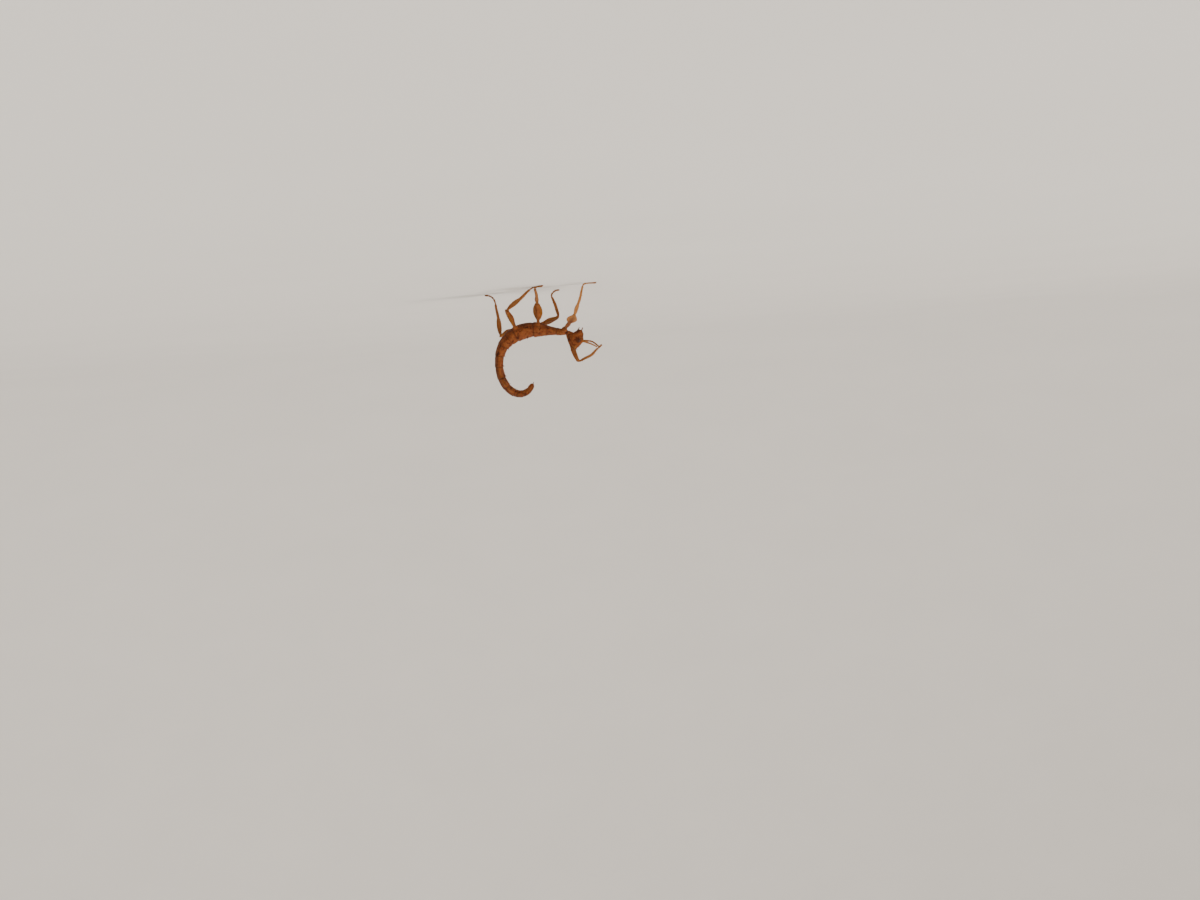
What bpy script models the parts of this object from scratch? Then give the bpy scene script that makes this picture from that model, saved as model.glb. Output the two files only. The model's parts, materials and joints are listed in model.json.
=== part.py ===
"""A young giant prickly stick insect at life size, standing with its abdomen curled over its back.

The head points along -Y, the animal's left side along +X and up is +Z. The feet stand on the
plane z = 0, and the origin lies on that plane under the middle of the animal's box.
Lengths are written in millimetres times MM. Angles are degrees above the level, seen from the
animal's left side, of a line that runs towards the tail.
"""
import math

import bmesh
import bpy
import numpy as np
from mathutils import Matrix, Vector

MM = 0.001
GAP = 0.1 * MM  # the thin cut that parts two neighbouring pieces

# The trunk from neck to tail. Each row is one segment of the real body: length (mm), heading
# (degrees), half width, half depth and how far its side lobe stands out (mm).
NECK_START = (0.0, -10.0, 14.62)
SEGMENTS = {
    "neck": (1.3, -11, 0.72, 0.68, 0.0),
    "prothorax": (3.0, -11, 1.35, 1.02, 0.0),
    "mesothorax_front": (3.7, -11, 1.55, 1.42, 0.0),
    "mesothorax_rear": (3.7, -9, 2.45, 2.3, 0.0),
    "metathorax": (6.0, 12, 2.85, 2.55, 0.0),
    "tergite_1": (2.4, 31, 2.9, 2.35, 0.0),
    "tergite_2": (3.0, 46, 2.9, 2.0, 0.1),
    "tergite_3": (3.2, 68, 2.85, 1.62, 0.15),
    "tergite_4": (3.5, 84, 2.8, 1.35, 0.25),
    "tergite_5": (3.6, 99, 2.75, 1.34, 0.7),
    "tergite_6": (3.2, 115, 2.6, 1.34, 0.95),
    "tergite_7": (3.0, 138, 2.25, 1.26, 0.8),
    "tergite_8": (2.6, 169, 1.75, 1.18, 0.1),
    "tergite_9": (2.4, 206, 1.5, 1.08, 0.0),
    "tergite_10": (2.3, 239, 1.3, 0.85, 0.0),
}
# The nodes that the trunk is parted into, each with the segments it holds.
TRUNK_NODES = {
    "prothorax": ("neck", "prothorax"),
    "mesothorax": ("mesothorax_front", "mesothorax_rear"),
    "metathorax": ("metathorax",),
    "abdomen_base": ("tergite_1", "tergite_2"),
    "abdomen_rise": ("tergite_3", "tergite_4", "tergite_5"),
    "abdomen_bend": ("tergite_6", "tergite_7"),
    "abdomen_tip": ("tergite_8", "tergite_9", "tergite_10"),
}
COXA_OF = {"prothorax": "front", "mesothorax": "middle", "metathorax": "hind"}  # which legs leave it
TRUNK_SIDES = 18  # points round a trunk section
TRUNK_RINGS = (0.06, 0.4, 0.72, 0.93)  # where a segment has its sections, as shares of its length
TRUNK_SWELL = (0.95, 1.0, 1.02, 1.05)  # and how much each is swollen: the hind edge stands proud
TAIL_SWELL = 0.8  # the last section draws in
BELLY_SHARE = 0.96  # the belly is this much flatter than the back
LOBE_POWER = 9  # how sharply the side lobes are drawn out

# The head's profile from the mouth to the crown: height, front, back, half width (mm).
HEAD_PROFILE = (
    (13.75, -13.15, -12.45, 0.35),
    (14.15, -13.65, -11.75, 0.8),
    (14.8, -13.9, -10.5, 1.15),
    (15.5, -14.0, -9.35, 1.45),
    (16.3, -13.95, -9.0, 1.68),
    (17.1, -13.9, -9.1, 1.82),
    (17.8, -13.7, -9.35, 1.78),
    (18.5, -13.1, -9.6, 1.55),
    (19.1, -12.35, -9.75, 1.25),
    (19.7, -11.6, -9.95, 0.88),
    (20.2, -11.0, -10.2, 0.42),
)
HEAD_SIDES, HEAD_POWER = 20, 0.9
MOUTH_CUT = 14.75  # height of the cut between the mouthparts and the head capsule
NECK_SEAT_RADIUS, NECK_SEAT_LENGTH = 0.88, 3.0
EYE_PLACE, EYE_RADIUS = (1.5, -12.55, 17.2), 0.62
ANTENNA_SEAT_RADIUS = 0.45
ANTENNA_THICK, ANTENNA_THIN = 0.33, 0.26  # radii at the first joint and at the tip
ANTENNAE = {
    "left": ((0.78, -13.62, 17.4), (1.15, -15.2, 17.5), (1.6, -16.9, 18.05), (2.5, -18.9, 19.9)),
    "right": ((-0.78, -13.62, 17.4), (-1.5, -14.9, 17.9), (-2.5, -16.4, 18.5), (-4.3, -18.2, 19.5)),
}

# Each leg by its joints (mm): the coxa's root in the thorax, the hip, the knee, the ankle, the toe.
LEGS = {
    "front_left": (
        (0.9, -7.9, 13.8),
        (2.1, -8.6, 12.9),
        (11.5, -11.5, 9.5),
        (11.8, -14.6, 1.0),
        (12.0, -18.9, 0.22),
    ),
    "front_right": (
        (-0.9, -7.9, 13.8),
        (-2.0, -8.9, 14.2),
        (-4.9, -12.1, 23.8),
        (-11.5, -18.6, 19.9),
        (-15.2, -20.1, 18.8),
    ),
    "middle_left": (
        (1.2, 0.2, 12.0),
        (2.5, -0.2, 10.6),
        (7.8, -0.3, 5.0),
        (14.0, 0.0, 1.0),
        (17.2, -2.4, 0.22),
    ),
    "middle_right": (
        (-1.2, 0.0, 12.0),
        (-2.6, -1.1, 11.0),
        (-7.4, -6.9, 9.0),
        (-11.2, -5.2, 2.4),
        (-13.4, -7.8, 0.22),
    ),
    "hind_left": (
        (1.4, 6.6, 12.6),
        (2.9, 7.2, 11.3),
        (11.2, 9.1, 6.6),
        (12.8, 1.7, 1.0),
        (13.6, -2.2, 0.22),
    ),
    "hind_right": (
        (-1.4, 6.6, 12.6),
        (-2.9, 7.8, 12.1),
        (-11.4, 12.0, 13.6),
        (-12.6, 12.9, 3.4),
        (-13.8, 16.2, 0.22),
    ),
}
COXA_RADII, COXA_RINGS, COXA_SIDES = (0.95, 0.6), 5, 12
COXA_TURN = 0.4  # the share of its length in which it turns in line with the thigh
KNEE_BEND = 1.1 * MM  # how far from the knee its round corner starts
# How far each tibia bows towards the head, by leg or by pair of legs.
SHANK_BOW = {"front_left": 0.2 * MM, "front_right": 0.7 * MM, "middle": 0.15 * MM, "hind": 0.2 * MM}
# Half breadth, half height and keel of the femur and the tibia, and their leafy lobes: where along
# the piece each lobe is widest, how far it spreads either way (shares of the length) and its height.
LEG_FORMS = {
    "front_left": {
        "femur": (0.5, 0.48, 0.2, ((0.74, 0.24, 0.95), (0.25, 0.2, 0.15))),
        "tibia": (0.36, 0.33, 0.05, ((0.18, 0.18, 0.25),)),
    },
    "front_right": {
        "femur": (0.5, 0.48, 0.2, ((0.74, 0.24, 0.45), (0.25, 0.2, 0.1))),
        "tibia": (0.36, 0.33, 0.05, ((0.18, 0.18, 0.25),)),
    },
    "middle": {
        "femur": (0.52, 0.48, 0.3, ((0.54, 0.44, 0.85),)),
        "tibia": (0.4, 0.34, 0.1, ((0.2, 0.2, 0.2),)),
    },
    "hind": {
        "femur": (0.62, 0.55, 0.35, ((0.6, 0.4, 0.75), (0.2, 0.2, 0.3))),
        "tibia": (0.4, 0.36, 0.15, ((0.3, 0.26, 0.4),)),
    },
}
LOBE_THICK = 0.5 * MM
LIMB_TAPER = 0.12  # how much slimmer each piece is at its ends
# The leg's section between the lobes, as shares of its half breadth and half height.
RIDGE_WIDTH, RIDGE_RISE = 0.5, 1.2
FLANK_WIDTH, FLANK_DROP, KEEL_WIDTH = 0.85, 0.35, 0.4
FEMUR_RINGS, TIBIA_RINGS, TARSUS_RINGS = 14, 12, 9
TARSUS_SIDES = 8
TARSUS_RADIUS, PAD_RADIUS = 0.33, 0.45
TARSUS_LEAVE, TARSUS_LAND = 0.3, 0.55  # how far it runs straight at either end, as shares
TOE_DRAW = 0.6  # the last section of the foot draws in

# Spines are cones (mm): height above the skin, depth of the root, radii of root and point.
SPINE_HEIGHT, SPINE_SUNK, SPINE_RADIUS, SPINE_POINT, SPINE_SIDES = 0.65, 0.3, 0.35, 0.05, 5
SPINE_LEAN = 0.5  # how far a trunk spine leans towards the tail
CROWN_RISE = 0.9  # and how far the head's spines lean upwards
CROWN_SPINES = ((19.75, 6), (18.7, 4))  # height of a ring of spines on the head, and how many
# Trunk spines in pairs: segment, share of its length, and the angle from the side up to the back.
TRUNK_SPINES = (
    ("prothorax", 0.5, 60),
    ("mesothorax_front", 0.8, 68),
    ("mesothorax_rear", 0.6, 62),
    ("mesothorax_rear", 0.15, 4),
    ("metathorax", 0.35, 70),
    ("metathorax", 0.8, 66),
    ("metathorax", 0.5, 2),
    ("tergite_2", 0.85, 72),
    ("tergite_3", 0.85, 72),
    ("tergite_4", 0.85, 72),
    ("tergite_5", 0.85, 72),
    ("tergite_6", 0.85, 70),
    ("tergite_7", 0.85, 68),
)
# The pair of short tail leaves (mm): length, radii of root and tip, place beside the middle.
CERCUS_LENGTH, CERCUS_RADIUS, CERCUS_TIP, CERCUS_OUT = 1.0, 0.34, 0.25, 0.7
CERCUS_SUNK, CERCUS_SPLAY = 0.4, 0.35

COLOURS = {
    "cuticle": (0.36, 0.13, 0.035),
    "belly": (0.26, 0.085, 0.025),
    "leg": (0.42, 0.19, 0.05),
    "foot": (0.5, 0.28, 0.12),
    "eye": (0.16, 0.07, 0.03),
}


def clear_scene():
    for thing in list(bpy.data.objects):
        bpy.data.objects.remove(thing)


def new_collection(name):
    made = bpy.data.collections.new(name)
    bpy.context.scene.collection.children.link(made)
    return made


def finish_of(slot):
    """The plain material of one slot, made the first time it is asked for."""
    made = bpy.data.materials.get(slot)
    if made is None:
        made = bpy.data.materials.new(slot)
        made.use_nodes = True
        shader = made.node_tree.nodes["Principled BSDF"]
        shader.inputs["Base Color"].default_value = (*COLOURS[slot], 1.0)
        shader.inputs["Roughness"].default_value = 0.12 if slot == "eye" else 0.55
        shader.inputs["Metallic"].default_value = 0.0
    return made


def unit(v):
    return v / np.linalg.norm(v, axis=-1, keepdims=True)


def point(*mm):
    return np.array(mm, float) * MM


class Path:
    """A dense line in space, read by the distance along it."""

    def __init__(self, points):
        self.points = points
        self.along = np.concatenate([[0], np.cumsum(np.linalg.norm(np.diff(points, axis=0), axis=1))])
        self.length = self.along[-1]
        self.slope = np.gradient(points, self.along, axis=0)

    def at(self, s):
        return np.stack([np.interp(s, self.along, self.points[:, k]) for k in range(3)], axis=-1)

    def heading(self, s):
        return unit(np.stack([np.interp(s, self.along, self.slope[:, k]) for k in range(3)], axis=-1))


def frames(path, s, side_hint):
    """The centre, side and up directions at each distance, with side kept square to the path."""
    ahead = path.heading(s)
    side = unit(side_hint - (ahead * side_hint).sum(-1, keepdims=True) * ahead)
    return path.at(s), side, np.cross(side, ahead)


def tube_rings(path, s, side_hint, radius, sides):
    """Round sections of a tube along a path, one radius for each distance."""
    theta = (np.arange(sides) + 0.5) * 2 * np.pi / sides
    centre, across, up = frames(path, s, side_hint)
    turn = np.cos(theta)[:, None] * across[:, None] + np.sin(theta)[:, None] * up[:, None]
    return centre[:, None] + radius[:, None, None] * turn


def loft_mesh(name, rings):
    """A closed mesh through rings of points (rings, points round, 3), with a flat cap at each end."""
    n, m = rings.shape[:2]
    i, k = np.meshgrid(np.arange(n - 1), np.arange(m), indexing="ij")
    after = (k + 1) % m
    sides = np.stack([i * m + k, (i + 1) * m + k, (i + 1) * m + after, i * m + after], axis=-1)
    caps = [list(range(m)), list(range(n * m - 1, (n - 1) * m - 1, -1))]
    mesh = bpy.data.meshes.new(name)
    mesh.from_pydata(rings.reshape(-1, 3).tolist(), [], sides.reshape(-1, 4).tolist() + caps)
    mesh.validate()
    return mesh


def loft(name, rings, slot, collection):
    return add_object(name, loft_mesh(name, rings), slot, collection)


def add_object(name, mesh, slot, collection):
    made = bpy.data.objects.new(name, mesh)
    collection.objects.link(made)
    mesh.materials.append(finish_of(slot))
    mesh.shade_smooth()
    mesh.set_sharp_from_angle(angle=math.radians(35))
    made.parent = ROOT
    return made


def filled_mesh(name, fill):
    """A mesh made by fill(bm), its faces pointing out."""
    mesh = bpy.data.meshes.new(name)
    bm = bmesh.new()
    fill(bm)
    bmesh.ops.recalc_face_normals(bm, faces=bm.faces)
    bm.to_mesh(mesh)
    bm.free()
    return mesh


def add_cutter(name, mesh):
    """A guide object that only serves Booleans."""
    made = bpy.data.objects.new(name, mesh)
    CUTTERS.objects.link(made)
    made.hide_render = True
    made.display_type = "WIRE"
    made.parent = ROOT
    return made


def boolean(piece, cutter, operation):
    change = piece.modifiers.new(cutter.name, "BOOLEAN")
    change.operation = operation
    change.solver = "EXACT"
    change.object = cutter


def cone(bm, base, tip, radii, sides):
    """A capped cone between two points."""
    axis = Vector(tip) - Vector(base)
    turn = axis.to_track_quat("Z", "Y").to_matrix().to_4x4()
    place = Matrix.Translation((Vector(base) + Vector(tip)) / 2) @ turn
    size = dict(segments=sides, radius1=radii[0], radius2=radii[1], depth=axis.length)
    bmesh.ops.create_cone(bm, cap_ends=True, matrix=place, **size)


def spine(bm, skin, lean):
    """One spine that stands on the skin at a point, its root sunk in it."""
    radii = (SPINE_RADIUS * MM, SPINE_POINT * MM)
    cone(bm, skin - lean * SPINE_SUNK * MM, skin + lean * SPINE_HEIGHT * MM, radii, SPINE_SIDES)


def sphere(bm, centre, radius):
    place = Matrix.Translation(centre)
    bmesh.ops.create_uvsphere(bm, u_segments=12, v_segments=8, radius=radius, matrix=place)


# ---- the trunk ----


def trunk_path():
    """The trunk's middle line: the heading turns evenly from the middle of one segment to the next."""
    rows = list(SEGMENTS.values())
    ends = np.cumsum([0.0] + [row[0] for row in rows])
    middles = (ends[1:] + ends[:-1]) / 2
    s = np.linspace(0, ends[-1], 900)
    heading = np.radians(np.interp(s, middles, [row[1] for row in rows]))
    step = np.diff(s)
    y = np.concatenate([[0], np.cumsum(np.cos((heading[1:] + heading[:-1]) / 2) * step)])
    z = np.concatenate([[0], np.cumsum(np.sin((heading[1:] + heading[:-1]) / 2) * step)])
    return Path((np.array(NECK_START) + np.stack([0 * y, y, z], axis=1)) * MM), ends * MM, middles * MM


def trunk_outline(s, theta, swell=1.0):
    """Half-width and height of the trunk's skin at distance s, at an angle round the section.

    The section is an oval, flatter below, whose side edge is drawn out into the segment's lobe."""
    rows = np.array(list(SEGMENTS.values()))
    width = np.interp(s, MIDDLES, rows[:, 2]) * swell * MM
    depth = np.interp(s, MIDDLES, rows[:, 3]) * swell * MM
    lobe = np.interp(s, MIDDLES, rows[:, 4]) * MM
    across, high = np.cos(theta), np.sin(theta)
    side = width * across + lobe * np.sign(across) * np.abs(across) ** LOBE_POWER
    return side, np.where(high > 0, 1.0, BELLY_SHARE) * depth * high


def trunk_rings(segments):
    """The rings of one node: a section at each of TRUNK_RINGS of each segment, and one at each cut."""
    names = list(SEGMENTS)
    first, last = names.index(segments[0]), names.index(segments[-1])
    s, swell = [ENDS[first] + (GAP / 2 if first else 0)], [TRUNK_SWELL[0]]
    for j in range(first, last + 1):
        s += list(ENDS[j] + np.array(TRUNK_RINGS) * (ENDS[j + 1] - ENDS[j]))
        swell += TRUNK_SWELL
    is_tail = last == len(names) - 1
    s.append(ENDS[last + 1] - (0 if is_tail else GAP / 2))
    swell.append(TAIL_SWELL if is_tail else 1.0)
    s, swell = np.array(s), np.array(swell)[:, None]
    theta = np.arange(TRUNK_SIDES) * 2 * np.pi / TRUNK_SIDES
    side, high = trunk_outline(s[:, None], theta, swell)
    centre, across, up = frames(TRUNK, s, np.array([1.0, 0, 0]))
    return centre[:, None] + side[..., None] * across[:, None] + high[..., None] * up[:, None]


def spine_on_trunk(bm, segment, share, angle, side):
    """One spine, its root sunk in the skin, leaning towards the tail."""
    j = list(SEGMENTS).index(segment)
    s = ENDS[j] + share * (ENDS[j + 1] - ENDS[j])
    theta = math.radians(angle)
    out, high = trunk_outline(s, theta)
    centre, across, up = frames(TRUNK, np.array([s]), np.array([1.0, 0, 0]))
    skin = centre[0] + side * out * across[0] + high * up[0]
    away = side * math.cos(theta) * across[0] + math.sin(theta) * up[0]
    spine(bm, skin, unit(away + SPINE_LEAN * TRUNK.heading(s)))


def coxa_rings(leg):
    """The coxa: a short tapered tube that leaves the thorax and ends square to the thigh."""
    root, hip, knee = (point(*joint) for joint in LEGS[leg][:3])
    aim = unit(knee - hip)
    end = hip - aim * GAP / 2
    u = np.linspace(0, 1, 40)[:, None]
    turn = end - aim * COXA_TURN * np.linalg.norm(end - root)
    path = Path((1 - u) ** 2 * root + 2 * u * (1 - u) * turn + u**2 * end)
    s = np.linspace(0, path.length, COXA_RINGS)
    radius = np.linspace(*COXA_RADII, COXA_RINGS) * MM
    return tube_rings(path, s, unit(np.cross(end - root, np.array([0, 1.0, 0.3]))), radius, COXA_SIDES)


def cerci(bm):
    """The two short blunt cones beside the vent, at the very end of the tail."""
    end = TRUNK.at(TRUNK.length)
    ahead = TRUNK.heading(TRUNK.length)
    for side in (1, -1):
        root = end + point(side * CERCUS_OUT, 0, 0) - ahead * CERCUS_SUNK * MM
        aim = unit(ahead + np.array([CERCUS_SPLAY * side, 0, 0]))
        tip = root + aim * (CERCUS_LENGTH + CERCUS_SUNK) * MM
        cone(bm, root, tip, (CERCUS_RADIUS * MM, CERCUS_TIP * MM), 6)


def make_trunk(parts):
    for node, segments in TRUNK_NODES.items():
        piece = loft(node, trunk_rings(segments), "cuticle", parts)
        places = [place for place in TRUNK_SPINES if place[0] in segments]
        if places:

            def grow(bm, places=places):
                for place in places:
                    for side in (1, -1):
                        spine_on_trunk(bm, *place, side)

            boolean(piece, add_cutter(f"spines_{node}", filled_mesh(f"spines_{node}", grow)), "UNION")
        if node == "abdomen_tip":
            boolean(piece, add_cutter("cerci", filled_mesh("cerci", cerci)), "UNION")
        for leg in LEGS:
            if node in COXA_OF and leg.startswith(COXA_OF[node]):
                coxa = loft_mesh(f"coxa_{leg}", coxa_rings(leg))
                boolean(piece, add_cutter(f"coxa_{leg}", coxa), "UNION")


# ---- the head ----


def head_size(level):
    """Middle line, half depth and half width of the head at a height (mm)."""
    rows = np.array(HEAD_PROFILE)
    front, back, wide = (np.interp(level, rows[:, 0], rows[:, k]) for k in (1, 2, 3))
    return (front + back) / 2, (back - front) / 2, wide


def head_rings(low, high):
    """Level sections of the head between two heights, from the top down: slightly square ovals."""
    heights = [row[0] for row in HEAD_PROFILE]
    levels = np.array([low, *[h for h in heights if low + GAP / MM < h < high - GAP / MM], high])[::-1]
    middle, deep, wide = (part[:, None] for part in head_size(levels))
    theta = np.arange(HEAD_SIDES) * 2 * np.pi / HEAD_SIDES
    across, along = np.cos(theta), np.sin(theta)
    x = wide * np.sign(across) * np.abs(across) ** HEAD_POWER
    y = middle + deep * np.sign(along) * np.abs(along) ** HEAD_POWER
    return np.stack([x, y, levels[:, None] + 0 * x], axis=-1) * MM


def make_head(parts):
    low, high = HEAD_PROFILE[0][0], HEAD_PROFILE[-1][0]
    head = loft("head", head_rings(MOUTH_CUT + GAP / MM / 2, high), "cuticle", parts)
    loft("mouthparts", head_rings(low, MOUTH_CUT - GAP / MM / 2), "belly", parts)

    def crown(bm):
        for level, count in CROWN_SPINES:
            middle, deep, wide = head_size(level)
            for turn in (np.arange(count) + 0.5) * 2 * np.pi / count:
                away = point(wide * math.cos(turn), deep * math.sin(turn), 0)
                spine(bm, point(0, middle, level) + away, unit(unit(away) + np.array([0, 0, CROWN_RISE])))

    boolean(head, add_cutter("spines_head", filled_mesh("spines_head", crown)), "UNION")
    for name, side in (("left", 1), ("right", -1)):
        centre = point(side * EYE_PLACE[0], *EYE_PLACE[1:])
        base = point(*ANTENNAE[name][0])
        seats = {
            f"seat_eye_{name}": (centre, EYE_RADIUS * MM + GAP),
            f"seat_antenna_{name}": (base, ANTENNA_SEAT_RADIUS * MM),
        }
        for seat, (place, radius) in seats.items():
            mesh = filled_mesh(seat, lambda bm, place=place, radius=radius: sphere(bm, place, radius))
            boolean(head, add_cutter(seat, mesh), "DIFFERENCE")
        eye = filled_mesh(f"eye_{name}", lambda bm, place=centre: sphere(bm, place, EYE_RADIUS * MM))
        add_object(f"eye_{name}", eye, "eye", parts)
        make_antenna(name, parts)

    def neck_seat(bm):
        front, back = TRUNK.at(0.0) - TRUNK.heading(0.0) * GAP, TRUNK.at(NECK_SEAT_LENGTH * MM)
        cone(bm, front, back, (NECK_SEAT_RADIUS * MM, NECK_SEAT_RADIUS * MM), 16)

    boolean(head, add_cutter("seat_neck", filled_mesh("seat_neck", neck_seat)), "DIFFERENCE")


def smooth_line(corners, count):
    """Points on a Catmull-Rom curve through a few corners."""
    c = np.array(corners, float)
    c = np.vstack([2 * c[0] - c[1], c, 2 * c[-1] - c[-2]])
    u = np.linspace(0, len(corners) - 1, count)
    i = np.minimum(u.astype(int), len(corners) - 2)
    t = (u - i)[:, None]
    a, b, d, e = c[i], c[i + 1], c[i + 2], c[i + 3]
    return 0.5 * (2 * b + (d - a) * t + (2 * a - 5 * b + 4 * d - e) * t**2 + (3 * b - a - 3 * d + e) * t**3)


def make_antenna(name, parts):
    """A thread of round joints: a curve with thickness, thinner towards its tip."""
    curve = bpy.data.curves.new(f"antenna_{name}", "CURVE")
    curve.dimensions = "3D"
    curve.bevel_depth = ANTENNA_THICK * MM
    curve.bevel_resolution = 2
    curve.use_fill_caps = True
    line = smooth_line(ANTENNAE[name], 10) * MM
    spline = curve.splines.new("POLY")
    spline.points.add(len(line) - 1)
    for place, at, share in zip(spline.points, line, np.linspace(0, 1, len(line))):
        place.co = (*at, 1.0)
        place.radius = 1 + share * (ANTENNA_THIN / ANTENNA_THICK - 1)
    made = bpy.data.objects.new(f"antenna_{name}", curve)
    parts.objects.link(made)
    curve.materials.append(finish_of("leg"))
    made.parent = ROOT


# ---- the legs ----


def lobe_height(share, lobes):
    """How far the leafy edge stands out at each share of the length: one smooth rise for each lobe."""
    rises = []
    for middle, spread, height in lobes:
        rises.append(height * np.clip(1 - ((share - middle) / spread) ** 2, 0, None))
    return np.max(rises, axis=0) * MM


def limb_outline(share, form):
    """The leg's section: three-cornered, two corners drawn out into thin lobes, a keel inside."""
    breadth, height, keel, lobes = form
    taper = 1 - LIMB_TAPER * np.cos(share * 2 * np.pi)
    a, b = breadth * MM * taper, height * MM * taper
    lobe = lobe_height(share, lobes)
    k = keel * MM * np.sin(np.pi * share) ** 2
    edge = np.minimum(LOBE_THICK, 2 * b)
    half_side = [a + lobe, a + lobe, RIDGE_WIDTH * a]
    half_side_below = [-FLANK_WIDTH * a, -KEEL_WIDTH * a]
    side = half_side + [-x for x in half_side[::-1]] + half_side_below + [-x for x in half_side_below[::-1]]
    half_high, half_high_below = [b - edge, b, RIDGE_RISE * b], [-FLANK_DROP * b, -b - k]
    high = half_high + half_high[::-1] + half_high_below + half_high_below[::-1]
    return np.stack(side, axis=-1), np.stack([h + 0 * a for h in high], axis=-1)


def limb(name, path, stretch, side_hint, form, parts):
    """One leafy-edged piece of a leg along a stretch of its line (start, end, number of sections)."""
    start, end, count = stretch
    s = np.linspace(start, end, count)
    side, high = limb_outline((s - start) / (end - start), form)
    centre, across, up = frames(path, s, side_hint)
    rings = centre[:, None] + side[..., None] * across[:, None] + high[..., None] * up[:, None]
    return loft(name, rings, "leg", parts)


def make_tarsus(name, ankle, toe, coming, parts):
    """The foot: a slim tube that comes out of the shank, bends down and lies along the floor.

    What would reach under the floor is pressed flat at z = 0, which gives the foot its small flats."""
    reach = np.linalg.norm(toe - ankle)
    level = unit((toe - ankle) * np.array([1, 1, 0 if toe[2] < 1 * MM else 1]))
    start = ankle + coming * GAP
    u = np.linspace(0, 1, 120)[:, None]
    inner, outer = start + coming * TARSUS_LEAVE * reach, toe - level * TARSUS_LAND * reach
    bend = 3 * (1 - u) ** 2 * u * inner + 3 * (1 - u) * u**2 * outer
    path = Path((1 - u) ** 3 * start + bend + u**3 * toe)
    share = np.linspace(0, 1, TARSUS_RINGS)
    radius = (TARSUS_RADIUS + (PAD_RADIUS - TARSUS_RADIUS) * np.clip(share * 3 - 2, 0, 1)) * MM
    radius[-1] *= TOE_DRAW
    hint = unit(np.cross(np.array([0, 0, 1.0]), level))
    rings = tube_rings(path, share * path.length, hint, radius, TARSUS_SIDES)
    rings[..., 2] = np.maximum(rings[..., 2], 0.0)
    return loft(f"tarsus_{name}", rings, "foot", parts)


def own(table, name):
    """The value that a table holds for one leg, or for its pair of legs."""
    return table[name] if name in table else table[name.split("_")[0]]


def make_leg(name, joints, parts):
    """Femur and tibia on one bent line, parted in the middle of the knee, then the tarsus."""
    hip, knee, ankle, toe = (point(*joint) for joint in joints[1:])
    down, out = unit(knee - hip), unit(ankle - knee)
    before, after = knee - down * KNEE_BEND, knee + out * KNEE_BEND
    u = np.linspace(0, 1, 60)[:, None]
    bend = (1 - u) ** 2 * before + 2 * u * (1 - u) * knee + u**2 * after
    ahead = unit(np.array([0, -1.0, 0]) + out[1] * out)
    bowed = after + u * (ankle - after) + own(SHANK_BOW, name) * np.sin(np.pi * u) ** 2 * ahead
    path = Path(np.vstack([hip + u * (before - hip), bend[1:-1], bowed]))
    middle = path.along[len(u) + len(u) // 2 - 1]
    hinge = unit(np.cross(out, down))
    forms = own(LEG_FORMS, name)
    thigh = (GAP / 2, middle - GAP / 2, FEMUR_RINGS)
    shank = (middle + GAP / 2, path.length, TIBIA_RINGS)
    limb(f"femur_{name}", path, thigh, hinge, forms["femur"], parts)
    limb(f"tibia_{name}", path, shank, hinge, forms["tibia"], parts)
    make_tarsus(name, ankle, toe, out, parts)


def stand_on_origin(parts):
    """Moves the whole animal so that the origin lies on the floor under the middle of its box."""
    bpy.context.view_layer.update()
    seen = bpy.context.evaluated_depsgraph_get()
    corners = []
    for thing in parts.objects:
        mesh = thing.evaluated_get(seen).to_mesh()
        co = np.empty(len(mesh.vertices) * 3, np.float32)
        mesh.vertices.foreach_get("co", co)
        corners += [co.reshape(-1, 3).min(0), co.reshape(-1, 3).max(0)]
    low, high = np.min(corners, axis=0), np.max(corners, axis=0)
    ROOT.location = (-(low[0] + high[0]) / 2, -(low[1] + high[1]) / 2, 0.0)
    bpy.context.view_layer.update()


clear_scene()
PARTS = new_collection("stick_insect")
CUTTERS = new_collection("cutters")
ROOT = bpy.data.objects.new("stick_insect_root", None)
bpy.context.scene.collection.objects.link(ROOT)
TRUNK, ENDS, MIDDLES = trunk_path()
make_trunk(PARTS)
make_head(PARTS)
for leg_name, leg_joints in LEGS.items():
    make_leg(leg_name, leg_joints, PARTS)
stand_on_origin(PARTS)
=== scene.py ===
"""A young giant prickly stick insect at life size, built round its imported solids.

Shapes are worked out in millimetres and placed in metres. The head points along -Y, the animal's left
side along +X, and the feet stand on z = 0.
"""
import json
import math

import bmesh
import bpy
import numpy as np
from mathutils import Matrix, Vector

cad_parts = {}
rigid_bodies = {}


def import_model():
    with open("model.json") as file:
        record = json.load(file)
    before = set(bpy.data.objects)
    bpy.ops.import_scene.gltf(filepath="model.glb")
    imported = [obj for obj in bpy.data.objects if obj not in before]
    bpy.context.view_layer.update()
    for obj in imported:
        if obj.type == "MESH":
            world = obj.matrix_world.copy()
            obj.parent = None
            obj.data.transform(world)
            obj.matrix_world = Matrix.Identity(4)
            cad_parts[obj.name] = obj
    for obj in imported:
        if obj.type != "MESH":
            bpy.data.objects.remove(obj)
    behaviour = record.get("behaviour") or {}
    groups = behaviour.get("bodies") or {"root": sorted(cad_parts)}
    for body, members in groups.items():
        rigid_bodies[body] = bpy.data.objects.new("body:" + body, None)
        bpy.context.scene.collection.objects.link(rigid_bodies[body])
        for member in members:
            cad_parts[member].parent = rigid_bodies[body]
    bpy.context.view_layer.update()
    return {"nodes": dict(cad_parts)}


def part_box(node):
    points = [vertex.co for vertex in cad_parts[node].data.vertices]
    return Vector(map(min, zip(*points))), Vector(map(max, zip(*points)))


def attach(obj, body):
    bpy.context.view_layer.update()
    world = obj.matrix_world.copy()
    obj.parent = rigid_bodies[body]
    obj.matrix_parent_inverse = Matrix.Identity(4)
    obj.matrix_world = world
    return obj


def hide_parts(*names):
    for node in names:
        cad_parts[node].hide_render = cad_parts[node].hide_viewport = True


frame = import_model()
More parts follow.
